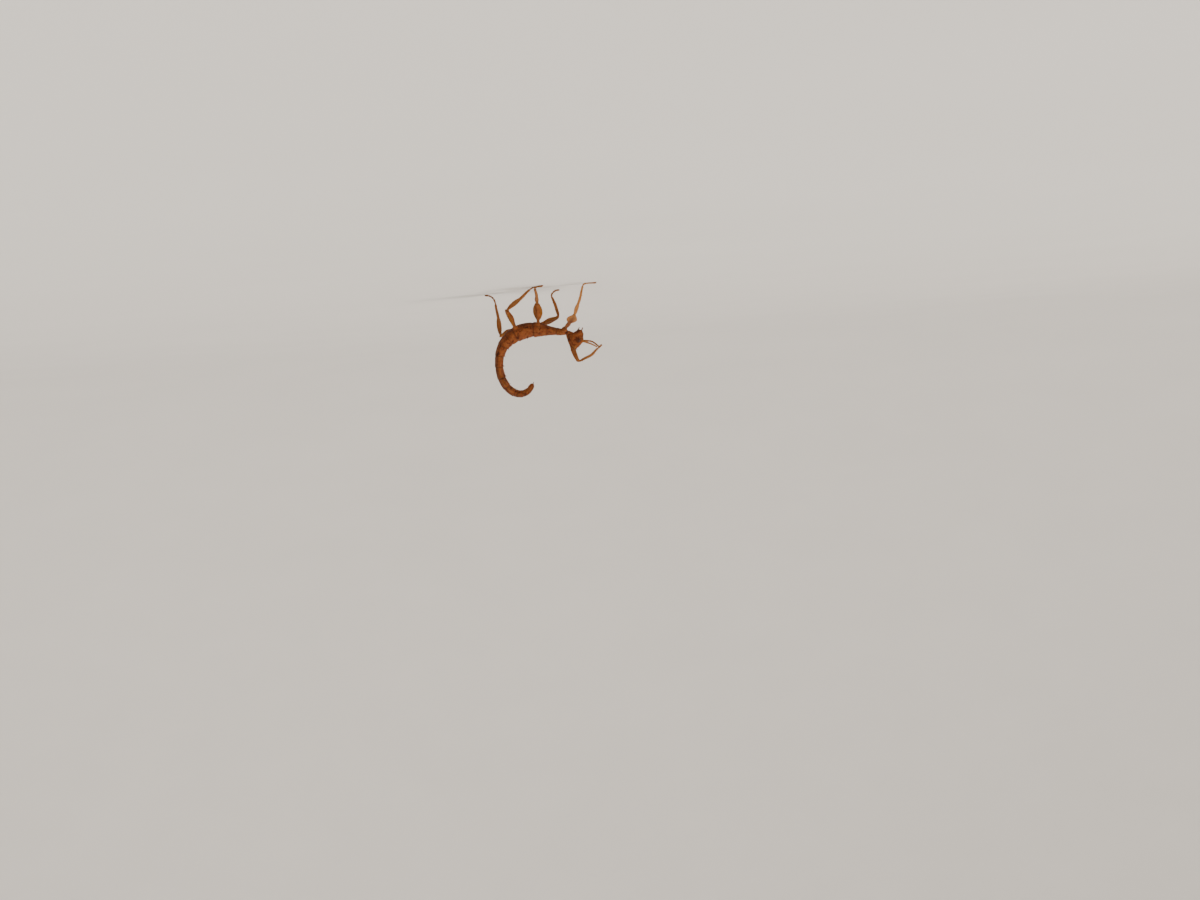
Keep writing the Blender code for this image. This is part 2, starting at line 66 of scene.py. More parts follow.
MM = 0.001

# ---- the trunk ----
# Neck, thorax and abdomen are rings of hard brown skin with folds of soft skin between them. Each ring
# swells towards its hind edge, and the middle rings of the abdomen have toothed, leafy side lobes.

EYE_PLACE = np.array([1.5, -12.55, 17.2])  # the middle of the left eye, as the sizes below are laid out
SHIFT = np.mean(np.array(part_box("eye_left")), axis=0) / MM - EYE_PLACE  # from there to where the solids are

NECK_START = (0.0, -10.0, 14.62)
# length, heading in degrees above the level, half width, half depth, how far the side lobe stands out
TRUNK = {
    "neck": (1.3, -11, 0.72, 0.68, 0.0),
    "prothorax": (3.0, -11, 1.35, 1.02, 0.0),
    "mesothorax_front": (3.7, -11, 1.55, 1.42, 0.0),
    "mesothorax_rear": (3.7, -9, 2.45, 2.3, 0.0),
    "metathorax": (6.0, 12, 2.85, 2.55, 0.0),
    "tergite_1": (2.4, 31, 2.9, 2.35, 0.0),
    "tergite_2": (3.0, 46, 2.9, 2.0, 0.1),
    "tergite_3": (3.2, 68, 2.85, 1.62, 0.15),
    "tergite_4": (3.5, 84, 2.8, 1.35, 0.25),
    "tergite_5": (3.6, 99, 2.75, 1.34, 0.7),
    "tergite_6": (3.2, 115, 2.6, 1.34, 0.95),
    "tergite_7": (3.0, 138, 2.25, 1.26, 0.8),
    "tergite_8": (2.6, 169, 1.75, 1.18, 0.1),
    "tergite_9": (2.4, 206, 1.5, 1.08, 0.0),
    "tergite_10": (2.3, 239, 1.3, 0.85, 0.0),
}
TRUNK_ROWS, TRUNK_SIDES = 400, 92
SINK = 0.96  # the skin lies this far inside the solids
FOLD_AT = (0.0, 0.03, 0.1, 0.3, 0.75, 0.9, 0.965, 1.0)  # shares of a ring's length
FOLD_SWELL = (0.93, 0.95, 0.985, 1.0, 1.02, 1.045, 1.035, 0.93)
TOOTH = 0.52  # from one tooth of a lobe to the next
EDGE_BEADS = 15  # along the hind edge of a ring
GRAINS = 520
SOCKET_RADIUS = 1.1
# swellings that the legs leave from: share of the ring's length, angle, height
SOCKETS = {
    "prothorax": (0.3, -28, 0.16),
    "mesothorax_rear": (0.62, -30, 0.22),
    "metathorax": (0.84, -28, 0.22),
}
SPIRACLE_SHARE, SPIRACLE_ANGLE = 0.3, -0.12  # a breathing hole in each ring, just above the side groove
SPIRACLE_RIM, SPIRACLE_PIT = (0.3, 0.09), (0.14, -0.16)  # radius and height of each
TAIL_ROWS = 12  # the last rings of points, drawn in to a round tail
SPINE_RADIUS = 0.17
# spines in pairs: share of the ring's length, angle from the side up to the back, length
TRUNK_SPINES = {
    "prothorax": ((0.5, 60, 0.5), (0.8, 35, 0.32)),
    "mesothorax_front": ((0.8, 68, 0.62), (0.3, 64, 0.4), (0.95, 25, 0.35)),
    "mesothorax_rear": ((0.6, 62, 0.62), (0.15, 4, 0.6), (0.7, 30, 0.42)),
    "metathorax": ((0.35, 70, 0.62), (0.8, 66, 0.62), (0.5, 2, 0.6), (0.15, 35, 0.42), (0.65, 38, 0.42)),
    "tergite_1": ((0.8, 60, 0.4),),
    "tergite_2": ((0.85, 72, 0.6), (0.85, 40, 0.36)),
    "tergite_3": ((0.85, 72, 0.6), (0.85, 40, 0.36)),
    "tergite_4": ((0.85, 72, 0.6), (0.85, 38, 0.34)),
    "tergite_5": ((0.85, 72, 0.58), (0.85, 36, 0.32)),
    "tergite_6": ((0.85, 70, 0.55),),
    "tergite_7": ((0.85, 68, 0.5),),
    "tergite_8": ((0.85, 64, 0.26),),
}
CERCUS = (1.0, 0.24, 0.62)  # length, root radius and place beside the middle of the tail's two small leaves
LEFT = np.array([1.0, 0, 0])
SHARP = math.radians(50)  # edges with a turn above this are shown sharp


def unit(v):
    """v divided by its own length."""
    return v / np.linalg.norm(v, axis=-1, keepdims=True)


class Line:
    """A dense line in space, read by the distance along it."""

    def __init__(self, points):
        self.points = np.asarray(points, float)
        self.along = np.append(0, np.cumsum(np.linalg.norm(np.diff(self.points, axis=0), axis=1)))
        self.length = self.along[-1]
        self.slope = np.gradient(self.points, self.along, axis=0)

    def read(self, values, s):
        """A value that each point of the line has, at distance s."""
        return np.stack([np.interp(s, self.along, values[:, k]) for k in range(3)], axis=-1)

    def frame(self, s, hint):
        """Place, side, up and ahead at distance s; the side is the hint made square to the line."""
        ahead = unit(self.read(self.slope, s))
        side = unit(hint - (ahead * hint).sum(-1, keepdims=True) * ahead)
        return self.read(self.points, s), side, np.cross(side, ahead), ahead


def soften(values, count):
    """Each value replaced by a bell-weighted mean of the count values round it; the ends are held."""
    bell = np.hanning(count + 2)[1:-1]
    padded = np.pad(values, (count // 2, count - 1 - count // 2), mode="edge")
    return np.convolve(padded, bell / bell.sum(), "valid")


def bell(x):
    """1 at x = 0, falling smoothly to 0 either side: e to the minus x squared."""
    return np.exp(-(x**2))


def grow(points, outward, places, radius, height):
    """Points moved outwards by the sum of round swellings, and that sum.

    Each swelling is its height times the bell of the distance from its place over its radius."""
    lift = np.zeros(points.shape[:-1])
    for place, r, h in zip(places, np.full(len(places), radius), np.full(len(places), height)):
        lift += h * bell(np.linalg.norm(points - place, axis=-1) / r)
    return points + lift[..., None] * outward, lift


def around(count):
    """Angles evenly spaced round one full turn."""
    return np.linspace(0, 2 * np.pi, count, endpoint=False)


def circles(side, up, count):
    """Unit directions round a circle: cosine of each angle times side plus its sine times up."""
    theta = around(count)[:, None]
    return np.cos(theta) * side[..., None, :] + np.sin(theta) * up[..., None, :]


WAVES = unit(np.random.default_rng(3).normal(size=(24, 3))) * np.geomspace(1.6, 9.0, 24)[:, None]


def ripple(points):
    """A smooth unevenness from about -1 to 1: sine waves that run in two dozen directions, the short
    ones lower than the long ones."""
    height = 1 / np.linalg.norm(WAVES, axis=1) ** 0.7
    return (np.sin(points @ WAVES.T + np.arange(len(WAVES)) ** 2) * height).sum(-1) / height.sum() * 2.2


def wall(n, m):
    """The four-cornered faces between n rings of m points each, row after row."""
    i, k = np.meshgrid(np.arange(n - 1), np.arange(m), indexing="ij")
    after = (k + 1) % m
    corners = np.stack([i * m + k, (i + 1) * m + k, (i + 1) * m + after, i * m + after], -1)
    return corners.reshape(-1, 4).tolist()


def tube(rings, **marks):
    """A closed grid of faces over rings of points, each end drawn together in one middle point.

    marks are named values for each point of the rings."""
    n, m = rings.shape[:2]
    turn = np.arange(m)
    low = np.stack([turn, (turn + 1) % m, np.full(m, n * m)], -1)
    high = np.stack([(n - 1) * m + (turn + 1) % m, (n - 1) * m + turn, np.full(m, n * m + 1)], -1)
    points = np.vstack([rings.reshape(-1, 3), rings[0].mean(0), rings[-1].mean(0)])
    values = {}
    for key, value in marks.items():
        full = np.broadcast_to(value, (n, m))
        values[key] = np.concatenate([full.ravel(), [full[0].mean(), full[-1].mean()]])
    return points, wall(n, m) + low.tolist() + high.tolist(), values


def gather(tubes):
    """Several tubes as one set of points, faces and marks; a mark that a tube lacks is 0 there."""
    points, faces, first = [], [], 0
    names = sorted({key for one in tubes for key in one[2]})
    marks = {key: [] for key in names}
    for one_points, one_faces, one_marks in tubes:
        points.append(one_points)
        faces += [[corner + first for corner in face] for face in one_faces]
        first += len(one_points)
        for key in names:
            marks[key].append(one_marks.get(key, np.zeros(len(one_points))))
    return np.vstack(points), faces, {key: np.concatenate(marks[key]) for key in names}


def new_object(name, data):
    """An object of that name, shown in the scene."""
    made = bpy.data.objects.new(name, data)
    bpy.context.scene.collection.objects.link(made)
    return made


def make_piece(name, shape, material):
    """A piece from points in millimetres, faces and marks, its object at the origin."""
    points, faces, marks = shape
    mesh = bpy.data.meshes.new(name)
    mesh.from_pydata(((points + SHIFT) * MM).tolist(), [], faces)
    for key, value in marks.items():
        mesh.attributes.new(key, "FLOAT", "POINT").data.foreach_set("value", value.astype(np.float32))
    mesh.shade_smooth()
    mesh.set_sharp_from_angle(angle=SHARP)
    mesh.materials.append(material)
    return new_object(name, mesh)


def thorn(root, lean, length, radius, sweep=(0, 0, 0), sides=8, rows=6, sunk=0.25, slim=1.15, flare=0.7):
    """A spine: a cone with a flared foot, a sharp tip and a slight sweep.

    Radius falls from one plus the flare at the foot to a twentieth at the tip; a slim of 1 makes a
    straight side, less a fuller one. The axis is the lean plus the sweep times the share squared."""
    root, lean = np.asarray(root), unit(np.asarray(lean, float))
    share = np.linspace(0, 1, rows)[:, None]
    axis = root - lean * sunk + lean * (length + sunk) * share
    axis = axis + np.asarray(sweep) * length * share**2
    thick = radius * (0.05 + 0.95 * (1 - share) ** slim + flare * bell(share / 0.3))
    side = unit(np.cross(lean, np.array([0.31, 0.2, 0.93])))
    return tube(axis[:, None] + thick[..., None] * circles(side, np.cross(side, lean), sides), spine=share)


ROWS = np.array(list(TRUNK.values()))
RING_ENDS = np.append(0, np.cumsum(ROWS[:, 0]))
RING_MIDDLES = (RING_ENDS[1:] + RING_ENDS[:-1]) / 2
FOLDS = np.delete(RING_ENDS, 3)  # the mesothorax is one ring, with no fold in its middle
DENSE = np.linspace(0, RING_ENDS[-1], 900)
HEADING = np.radians(np.interp(DENSE, RING_MIDDLES, ROWS[:, 1]))
CLIMB = (HEADING[1:] + HEADING[:-1]) / 2
STEPS = np.diff(DENSE)[:, None] * np.stack([0 * CLIMB, np.cos(CLIMB), np.sin(CLIMB)], -1)
SPINE_LINE = Line(np.vstack([NECK_START, NECK_START + np.cumsum(STEPS, axis=0)]))
WIDTH, DEPTH, LOBE = (soften(np.interp(DENSE, RING_MIDDLES, ROWS[:, k]), 31) for k in (2, 3, 4))


def trunk_skin(s, theta):
    """Points, outward directions and marks of the trunk at distance s and angle theta.

    The section is an oval, a little flatter below, times the ring's swell. Its side edge goes out by the
    lobe's height times the ninth power of the cosine; the lobe rises and falls once in each ring, with
    teeth. A low keel runs along the back, a groove along each flank parts back plates from the underside,
    and the hind edge of each plate is beaded. The marks paint shade on the underside and in the folds, and
    a glow of light through the side lobes."""
    s, theta = np.broadcast_arrays(s, theta)
    width, depth, lobe = (np.interp(s, DENSE, values) for values in (WIDTH, DEPTH, LOBE))
    ring = np.clip(np.searchsorted(FOLDS, s, side="right") - 1, 0, len(FOLDS) - 2)
    share = (s - FOLDS[ring]) / (FOLDS[ring + 1] - FOLDS[ring])
    swell = SINK * np.interp(share, FOLD_AT, FOLD_SWELL)
    across, high = np.cos(theta), np.sin(theta)
    tooth = 0.86 + 0.22 * np.abs(((s / TOOTH) % 1) - 0.5)
    lobe = lobe * (0.5 + 0.5 * np.sqrt(np.clip(np.sin(np.pi * share), 0, 1))) * tooth
    side = width * swell * across + lobe * np.sign(across) * np.abs(across) ** 9
    up = np.where(high > 0, 1.0, 0.96) * depth * swell * high
    outward2 = unit(np.stack([across / width, high / depth], -1))
    plate = np.clip((s - FOLDS[1]) / 2, 0, 1)
    keel = 0.07 * bell((theta - np.pi / 2) / 0.1) * plate * np.sin(np.pi * share) ** 0.5
    flank = bell((high + 0.36) / 0.09) * plate
    beaded = 0.05 * bell((share - 0.91) / 0.05) * np.cos(2 * EDGE_BEADS * theta) * (high > -0.3) * plate
    lift = keel - 0.1 * flank + beaded
    side, up = side + lift * outward2[..., 0], up + lift * outward2[..., 1]
    place, right, top, _ = SPINE_LINE.frame(s, LEFT)
    points = place + side[..., None] * right + up[..., None] * top
    outward = outward2[..., :1] * right + outward2[..., 1:] * top
    marks = {
        # painted shade on the underside
        "belly": np.clip(-1.4 * high - 0.35, 0, 1),
        # painted glow of light through the side lobes
        "edge": 0.45 * np.abs(across) ** 9 * np.clip(lobe / 0.5, 0, 1),
        # painted shade in the folds between the rings and in the flank groove
        "crease": np.clip(bell(share / 0.06) + bell((share - 1) / 0.035) + 0.7 * flank, 0, 1),
    }
    return points, outward, marks


def ring_places(ring_name, share, angle):
    """Distance and angle of a place in a ring, on its left side and mirrored on its right."""
    s = np.array([RING_ENDS[list(TRUNK).index(ring_name)] + share * TRUNK[ring_name][0]])
    return [(s, np.array([turn])) for turn in (math.radians(angle), math.pi - math.radians(angle))]


trunk_s = np.linspace(0, RING_ENDS[-1], TRUNK_ROWS)[:, None]
trunk_points, trunk_outward, trunk_marks = trunk_skin(trunk_s, around(TRUNK_SIDES))
tail_share = np.clip((np.arange(TRUNK_ROWS) - TRUNK_ROWS + TAIL_ROWS) / (TAIL_ROWS - 1), 0, 1)[:, None, None]
row_middle = trunk_points.mean(1, keepdims=True)
trunk_points = row_middle + (trunk_points - row_middle) * np.sqrt(1.02 - tail_share**2)

dice = np.random.default_rng(7)
grain_s = dice.uniform(2.0, RING_ENDS[-1] - 1.0, GRAINS)
grain_angle = dice.uniform(-0.2 * np.pi, 1.2 * np.pi, GRAINS)
grain_radius = dice.uniform(0.11, 0.22, GRAINS)
grain_height = dice.uniform(0.04, 0.11, GRAINS)
grain_places = trunk_skin(grain_s, grain_angle)[0]
trunk_points, grains = grow(trunk_points, trunk_outward, grain_places, grain_radius, grain_height)
for ring_name, (share, angle, height) in SOCKETS.items():
    for spot in ring_places(ring_name, share, angle):
        trunk_points, _ = grow(trunk_points, trunk_outward, trunk_skin(*spot)[0], SOCKET_RADIUS, height)
hole_s = RING_ENDS[5:-2] + SPIRACLE_SHARE * np.diff(RING_ENDS)[5:-1]
for turn in (SPIRACLE_ANGLE, math.pi - SPIRACLE_ANGLE):
    holes = trunk_skin(hole_s, turn)[0]
    trunk_points, _ = grow(trunk_points, trunk_outward, holes, *SPIRACLE_RIM)
    trunk_points, pits = grow(trunk_points, trunk_outward, holes, *SPIRACLE_PIT)
    # painted shade in the breathing holes
    trunk_marks["crease"] = np.clip(trunk_marks["crease"] - pits / 0.12, 0, 1)
trunk_points = trunk_points + 0.045 * ripple(trunk_points)[..., None] * trunk_outward
trunk_marks["grain"] = np.clip(grains / 0.06, 0, 1)
skin_parts = {"trunk": tube(trunk_points, **trunk_marks)}

spines = []
for ring_name, rows in TRUNK_SPINES.items():
    for share, angle, length in rows:
        for s, turn in ring_places(ring_name, share, angle):
            place, outward, _ = trunk_skin(s, turn)
            ahead = SPINE_LINE.frame(s, LEFT)[3]
            lean = outward[0] + 0.5 * ahead[0]
            spines.append(thorn(place[0], lean, length, SPINE_RADIUS, 0.25 * ahead[0]))
tail_ahead = SPINE_LINE.frame(np.array([SPINE_LINE.length]), LEFT)[3][0]
for side in (1, -1):
    root = SPINE_LINE.points[-1] + side * CERCUS[2] * LEFT - 0.35 * tail_ahead
    leaf = tail_ahead + 0.12 * side * LEFT
    spines.append(thorn(root, leaf, CERCUS[0], CERCUS[1], rows=12, sides=12, sunk=0.6, slim=0.5))

# ---- the head ----
# The head is a tall egg of hard skin with the mouth at its lower end: a flat face, a lip in two lobes,
# jaws and four small feelers below, rims round the eyes, and a crown of short spines.

# height, front, back, half width
HEAD_PROFILE = np.array(
    [
        (13.7, -12.8, -12.8, 0.0),
        (13.75, -13.12, -12.48, 0.33),
        (14.15, -13.62, -11.78, 0.78),
        (14.8, -13.88, -10.55, 1.12),
        (15.5, -13.98, -9.4, 1.42),
        (16.3, -13.93, -9.05, 1.66),
        (17.1, -13.88, -9.15, 1.8),
        (17.8, -13.68, -9.4, 1.75),
        (18.5, -13.05, -9.65, 1.52),
        (19.1, -12.32, -9.8, 1.22),
        (19.7, -11.58, -9.98, 0.86),
        (20.15, -11.0, -10.2, 0.42),
        (20.25, -10.6, -10.6, 0.0),
    ]
)
HEAD_ROWS, HEAD_SIDES = 96, 88
ANTENNA_ROOT = np.array([0.78, -13.62, 17.4])
EYE_OUT = unit(np.array([1.0, -0.42, 0.1]))
# swellings of the left half: place, radius, height (a groove is a negative height)
HEAD_SWELLS = (
    ((1.62, -11.6, 15.75), 0.8, 0.16),  # cheek
    ((1.35, -12.9, 16.3), 0.4, 0.06),  # below the eye
    ((0.74, -13.7, 17.42), 0.42, 0.26),  # seat of the antenna
    ((1.1, -12.75, 18.35), 0.45, 0.14),  # brow
    ((0.35, -13.75, 15.1), 0.5, 0.1),  # shield above the lip
    ((0.32, -13.66, 14.35), 0.3, 0.16),  # lobe of the lip
    ((0.85, -12.95, 14.45), 0.32, 0.12),  # jaw
    ((0.6, -11.6, 14.45), 0.4, 0.1),  # behind the jaw
    ((1.55, -10.3, 17.6), 0.6, 0.12),  # temple
    ((0.75, -9.75, 18.6), 0.6, 0.1),  # nape
    ((0.0, -13.95, 17.9), 0.28, 0.05),  # brow between the antennae
)
HEAD_GRAINS = 230
HEAD_GRAIN_ROWS = (6, 66)  # from the crown down to the cheeks
CROWN_SPINES = ((19.75, 6, 0.62), (19.15, 5, 0.36), (18.7, 4, 0.55))  # rings: height, number, length
# small spines scattered on crown and nape: lowest, highest, foremost, number, length
SMALL_SPINES = ((18.2, 20.1, -20.0, 34, 0.34), (15.6, 18.4, -10.6, 16, 0.26))
BROW_SPINES = (((1.3, -12.3, 18.25), (1, -0.5, 0.9), 0.3), ((1.55, -10.6, 18.0), (1, 0.3, 0.8), 0.32))
PALP_SIDES, PALP_ROWS, PALP_WAIST = 12, 11, 0.66  # points round, rings in a joint, share of the radius
NECK = ((0.0, -11.6, 15.75), (0.0, -10.8, 15.2), (0.0, -9.9, 14.75), (0.0, -8.6, 14.4))
PALPS = (
    # points of one feeler of the mouth, radius, joints
    (((0.85, -12.75, 14.75), (1.15, -13.15, 14.35), (1.2, -13.75, 13.85), (1.05, -14.0, 13.2)), 0.2, 4),
    (((0.38, -12.25, 14.2), (0.5, -12.45, 13.75), (0.52, -12.8, 13.4), (0.45, -12.95, 13.05)), 0.16, 3),
)


def curve(corners, count):
    """Points evenly spread in number on a smooth curve through all corners (Catmull-Rom)."""
    c = np.array(corners, float)
    c = np.vstack([2 * c[0] - c[1], c, 2 * c[-1] - c[-2]])
    u = np.linspace(0, len(corners) - 1, count)
    i = np.minimum(u.astype(int), len(corners) - 2)
    t = (u - i)[:, None]
    a, b, d, e = c[i], c[i + 1], c[i + 2], c[i + 3]
    return 0.5 * (2 * b + (d - a) * t + (2 * a - 5 * b + 4 * d - e) * t**2 + (3 * b - a - 3 * d + e) * t**3)


def beads(corners, radius, joints, **marks):
    """A jointed thread: a round tube along a curve.

    In each joint the radius swells from the waist, two thirds of it, to the full radius and back; it
    thins by a quarter towards the end, and the last joint is rounded off."""
    line = Line(curve(corners, 60))
    t = np.linspace(0, 1, joints * PALP_ROWS + 1)
    inside = (t * joints) % 1
    thick = PALP_WAIST + (1 - PALP_WAIST) * np.sin(np.pi * np.clip(inside, 0, 1)) ** 0.45
    thick = radius * thick * (1 - 0.25 * t)
    thick = thick * np.sqrt(np.clip(1 - np.clip((t - 0.93) / 0.072, 0, 1) ** 2, 0.02, 1))
    place, side, up, _ = line.frame(t * line.length, np.array([0.3, 0.5, 0.81]))
    return tube(place[:, None] + thick[:, None, None] * circles(side, up, PALP_SIDES), **marks)


def squarer(wave):
    """A sine or cosine made a little squarer: its size to the power 0.9, with its sign."""
    return np.sign(wave) * np.abs(wave) ** 0.9


def gap(points, place):
    """The distance of each point from a place or from its mirror image, whichever is nearer."""
    return np.minimum(*(np.linalg.norm(points - place * [side, 1, 1], axis=-1) for side in (1, -1)))


head_profile = curve(HEAD_PROFILE, 400)
head_reach = np.append(0, np.cumsum(np.linalg.norm(np.diff(head_profile, axis=0), axis=1)))
head_pick = np.linspace(0.006, 0.994, HEAD_ROWS)[::-1] * head_reach[-1]
level, front, back, half = (np.interp(head_pick, head_reach, head_profile[:, k])[:, None] for k in range(4))
head_across, head_along = np.cos(around(HEAD_SIDES)), np.sin(around(HEAD_SIDES))
half_depth = (back - front) / 2
along_y = (front + back) / 2 + half_depth * squarer(head_along)
head_points = np.stack([half * squarer(head_across), along_y, level + 0 * head_across], -1)
head_outward = [head_across / np.maximum(half, 0.2), head_along / np.maximum(half_depth, 0.2), 0 * along_y]
head_outward = unit(np.stack(head_outward, -1))
face = np.clip(-head_outward[..., 1], 0, 1)
head_swells = [(np.array(p), r, h) for p, r, h in HEAD_SWELLS]
head_swells += [(p * [-1, 1, 1], r, h) for p, r, h in head_swells if p[0] > 0]
head_points, _ = grow(head_points, head_outward, *zip(*head_swells))
x, y, z = np.moveaxis(head_points, -1, 0)
groove = 0.09 * bell((z - 14.78 + 0.05 * bell(x / 0.4)) / 0.05) * (np.abs(x) < 0.85) * face  # above the lip
groove += 0.16 * bell(x / 0.09) * bell((z - 14.2) / 0.3) * face  # between the lobes of the lip
groove += 0.05 * bell((z - 15.55) / 0.05) * (np.abs(x) < 0.9) * face  # above the shield
groove += 0.05 * bell(x / 0.07) * np.clip((z - 15.8) / 0.5, 0, 1) * np.clip((18.6 - z) / 0.5, 0, 1) * face
groove += 0.08 * bell((z - 14.55 - 0.25 * (y + 12.4)) / 0.07) * (np.abs(x) > 0.5)  # seam of the jaw
groove += 0.06 * bell((y + 10.15 - 0.25 * (z - 17)) / 0.1) * (z < 18.8)  # seam behind the cheek
eye_gap, seat_gap = gap(head_points, EYE_PLACE), gap(head_points, ANTENNA_ROOT)
rim = 0.13 * bell((eye_gap - 0.72) / 0.1) - 0.14 * bell(eye_gap / 0.5)
head_points = head_points + (rim - groove)[..., None] * head_outward
pick_row = dice.integers(*HEAD_GRAIN_ROWS, HEAD_GRAINS)
pick_side = dice.integers(0, HEAD_SIDES, HEAD_GRAINS)
head_grains = head_points[pick_row, pick_side]
head_grains = head_grains[gap(head_grains, EYE_PLACE) > 0.95]
grain_radius = dice.uniform(0.09, 0.18, len(head_grains))
grain_height = dice.uniform(0.04, 0.12, len(head_grains))
head_points, grains = grow(head_points, head_outward, head_grains, grain_radius, grain_height)
head_points = head_points + 0.04 * ripple(head_points)[..., None] * head_outward
# painted shade in the grooves, round the eyes and round the seats of the antennae
head_crease_shade = np.clip(groove / 0.07, 0, 1) + 0.6 * bell((eye_gap - 0.66) / 0.07) + 0.8 * bell(seat_gap / 0.36)
# the lower head gets painted shade
head_belly_shade, head_grain = np.clip((15.0 - level) / 0.8, 0, 1), np.clip(grains / 0.06, 0, 1)
skin_parts["head"] = tube(head_points, grain=head_grain, belly=head_belly_shade, crease=head_crease_shade)

# the neck: a short tube of soft, ringed skin from the head's lower back corner into the first ring
neck_line = Line(curve(NECK, 80))
s = np.linspace(0, neck_line.length, 70)
folds = np.abs(np.sin(np.pi * s / 0.42)) ** 0.6
thick = np.interp(s / neck_line.length, (0, 0.3, 0.6, 1), (0.55, 0.74, 0.66, 0.6)) * (0.93 + 0.07 * folds)
place, side, up, _ = neck_line.frame(s, LEFT)
theta = around(40)[:, None]
ring = 1.08 * np.cos(theta) * side[:, None] + np.sin(theta) * up[:, None]
# painted shade in the folds of the neck
neck_crease_shade = 0.55 * (1 - folds)[:, None] + 0.15
skin_parts["neck"] = tube(place[:, None] + thick[:, None, None] * ring, crease=neck_crease_shade)

for height, number, length in CROWN_SPINES:
    front_y, back_y, wide = (np.interp(height, HEAD_PROFILE[:, 0], HEAD_PROFILE[:, k]) for k in (1, 2, 3))
    for turn in (np.arange(number) + 0.5) * 2 * np.pi / number:
        away = np.array([wide * math.cos(turn), (back_y - front_y) / 2 * math.sin(turn), 0])
        root = np.array([0, (front_y + back_y) / 2, height]) + away
        spines.append(thorn(root, unit(away) + [0, 0, 0.9], length, SPINE_RADIUS, (0, 0, 0.12)))
_, y, z = np.moveaxis(head_points, -1, 0)
for low, high, foremost, number, length in SMALL_SPINES:
    rows, turns = np.nonzero((z > low) & (z < high) & (y > foremost))
    for pick in dice.choice(len(rows), number, replace=False):
        root, away = head_points[rows[pick], turns[pick]], head_outward[rows[pick], turns[pick]]
        size = dice.uniform(0.5, 1.0)
        lean, radius = away + [0, 0, 0.5], 0.05 + 0.07 * size
        spines.append(thorn(root, lean, length * size, radius, (0, 0, 0.1), sides=7, rows=5))
for side in (1, -1):
    for root, lean, length in BROW_SPINES:
        spines.append(thorn(np.array(root) * [side, 1, 1], np.array(lean) * [side, 1, 1], length, 0.13))
    for corners, radius, joints in PALPS:
        # the feelers of the mouth get a little painted shade, hanging under the head
        palp = beads(np.array(corners) * [side, 1, 1], radius, joints, belly=0.35)
        skin_parts[f"palp_{radius}_{side}"] = palp

# ---- the legs ----
# Each leg is one line of hard pieces: a short coxa in the thorax, the femur, the tibia and a foot of five
# small joints. Femur and tibia are three-cornered, and two corners are drawn out into toothed lobes.

# root in the thorax, hip and knee of each leg, then its ankle and toe
LEGS = {
    "front_left": ((0.9, -7.9, 13.8), (2.1, -8.6, 12.9), (11.5, -11.5, 9.5)),
    "front_right": ((-0.9, -7.9, 13.8), (-2.0, -8.9, 14.2), (-4.9, -12.1, 23.8)),
    "middle_left": ((1.2, 0.2, 12.0), (2.5, -0.2, 10.6), (7.8, -0.3, 5.0)),
    "middle_right": ((-1.2, 0.0, 12.0), (-2.6, -1.1, 11.0), (-7.4, -6.9, 9.0)),
    "hind_left": ((1.4, 6.6, 12.6), (2.9, 7.2, 11.3), (11.2, 9.1, 6.6)),
    "hind_right": ((-1.4, 6.6, 12.6), (-2.9, 7.8, 12.1), (-11.4, 12.0, 13.6)),
}
FEET = {
    "front_left": ((11.8, -14.6, 1.0), (12.0, -18.9, 0.22)),
    "front_right": ((-11.5, -18.6, 19.9), (-15.2, -20.1, 18.8)),
    "middle_left": ((14.0, 0.0, 1.0), (17.2, -2.4, 0.22)),
    "middle_right": ((-11.2, -5.2, 2.4), (-13.4, -7.8, 0.22)),
    "hind_left": ((12.8, 1.7, 1.0), (13.6, -2.2, 0.22)),
    "hind_right": ((-12.6, 12.9, 3.4), (-13.8, 16.2, 0.22)),
}
KNEE_BEND = 1.1
# how far each tibia bows towards the head, by leg or by pair of legs
SHANK_BOW = {"front_left": 0.2, "front_right": 0.7, "middle": 0.15, "hind": 0.2}
# half breadth, half height, keel, lobes (where it is widest, how far it spreads, height) of femur and tibia
FRONT_SHANK = (0.36, 0.33, 0.05, ((0.18, 0.18, 0.25),))
LEG_FORMS = {
    "front_left": ((0.5, 0.48, 0.2, ((0.74, 0.24, 0.95), (0.25, 0.2, 0.15))), FRONT_SHANK),
    "front_right": ((0.5, 0.48, 0.2, ((0.74, 0.24, 0.45), (0.25, 0.2, 0.1))), FRONT_SHANK),
    "middle": ((0.52, 0.48, 0.3, ((0.54, 0.44, 0.85),)), (0.4, 0.34, 0.1, ((0.2, 0.2, 0.2),))),
    "hind": ((0.62, 0.55, 0.35, ((0.6, 0.4, 0.75), (0.2, 0.2, 0.3))), (0.4, 0.36, 0.15, ((0.3, 0.26, 0.4),))),
}
# how pale tibia and foot grow, by leg; the left front leg's high value is painted sunlight
PALENESS_AND_SUN = dict(zip(LEGS, (0.95, 0.45, 0.4, 0.3, 0.35, 0.2)))  # of tibia and foot
LEG_SIDES = 26
LOBE_EDGE = 0.26  # thickness of a lobe at its rim
LOBE_TOOTH = 0.6  # from one tooth and rib of a lobe to the next
LEG_SPINE = (0.36, 0.085)  # length and radius
FOOT_JOINTS = np.array([0.0, 0.33, 0.48, 0.6, 0.7, 0.9])  # ends of the foot's joints, as shares
FOOT_RADIUS = 0.27
ROUND_ANGLES = np.radians([20, 48, 76, 104, 132, 160, 205, 248, 292, 335])


def bezier(*corners):
    """Points on the curve that leaves the first corner for the second and comes into the last."""
    u = np.linspace(0, 1, 60)[:, None]
    n = len(corners) - 1
    weights = (math.comb(n, k) * (1 - u) ** (n - k) * u**k for k in range(n + 1))
    return sum(weight * np.asarray(corner) for weight, corner in zip(weights, corners))


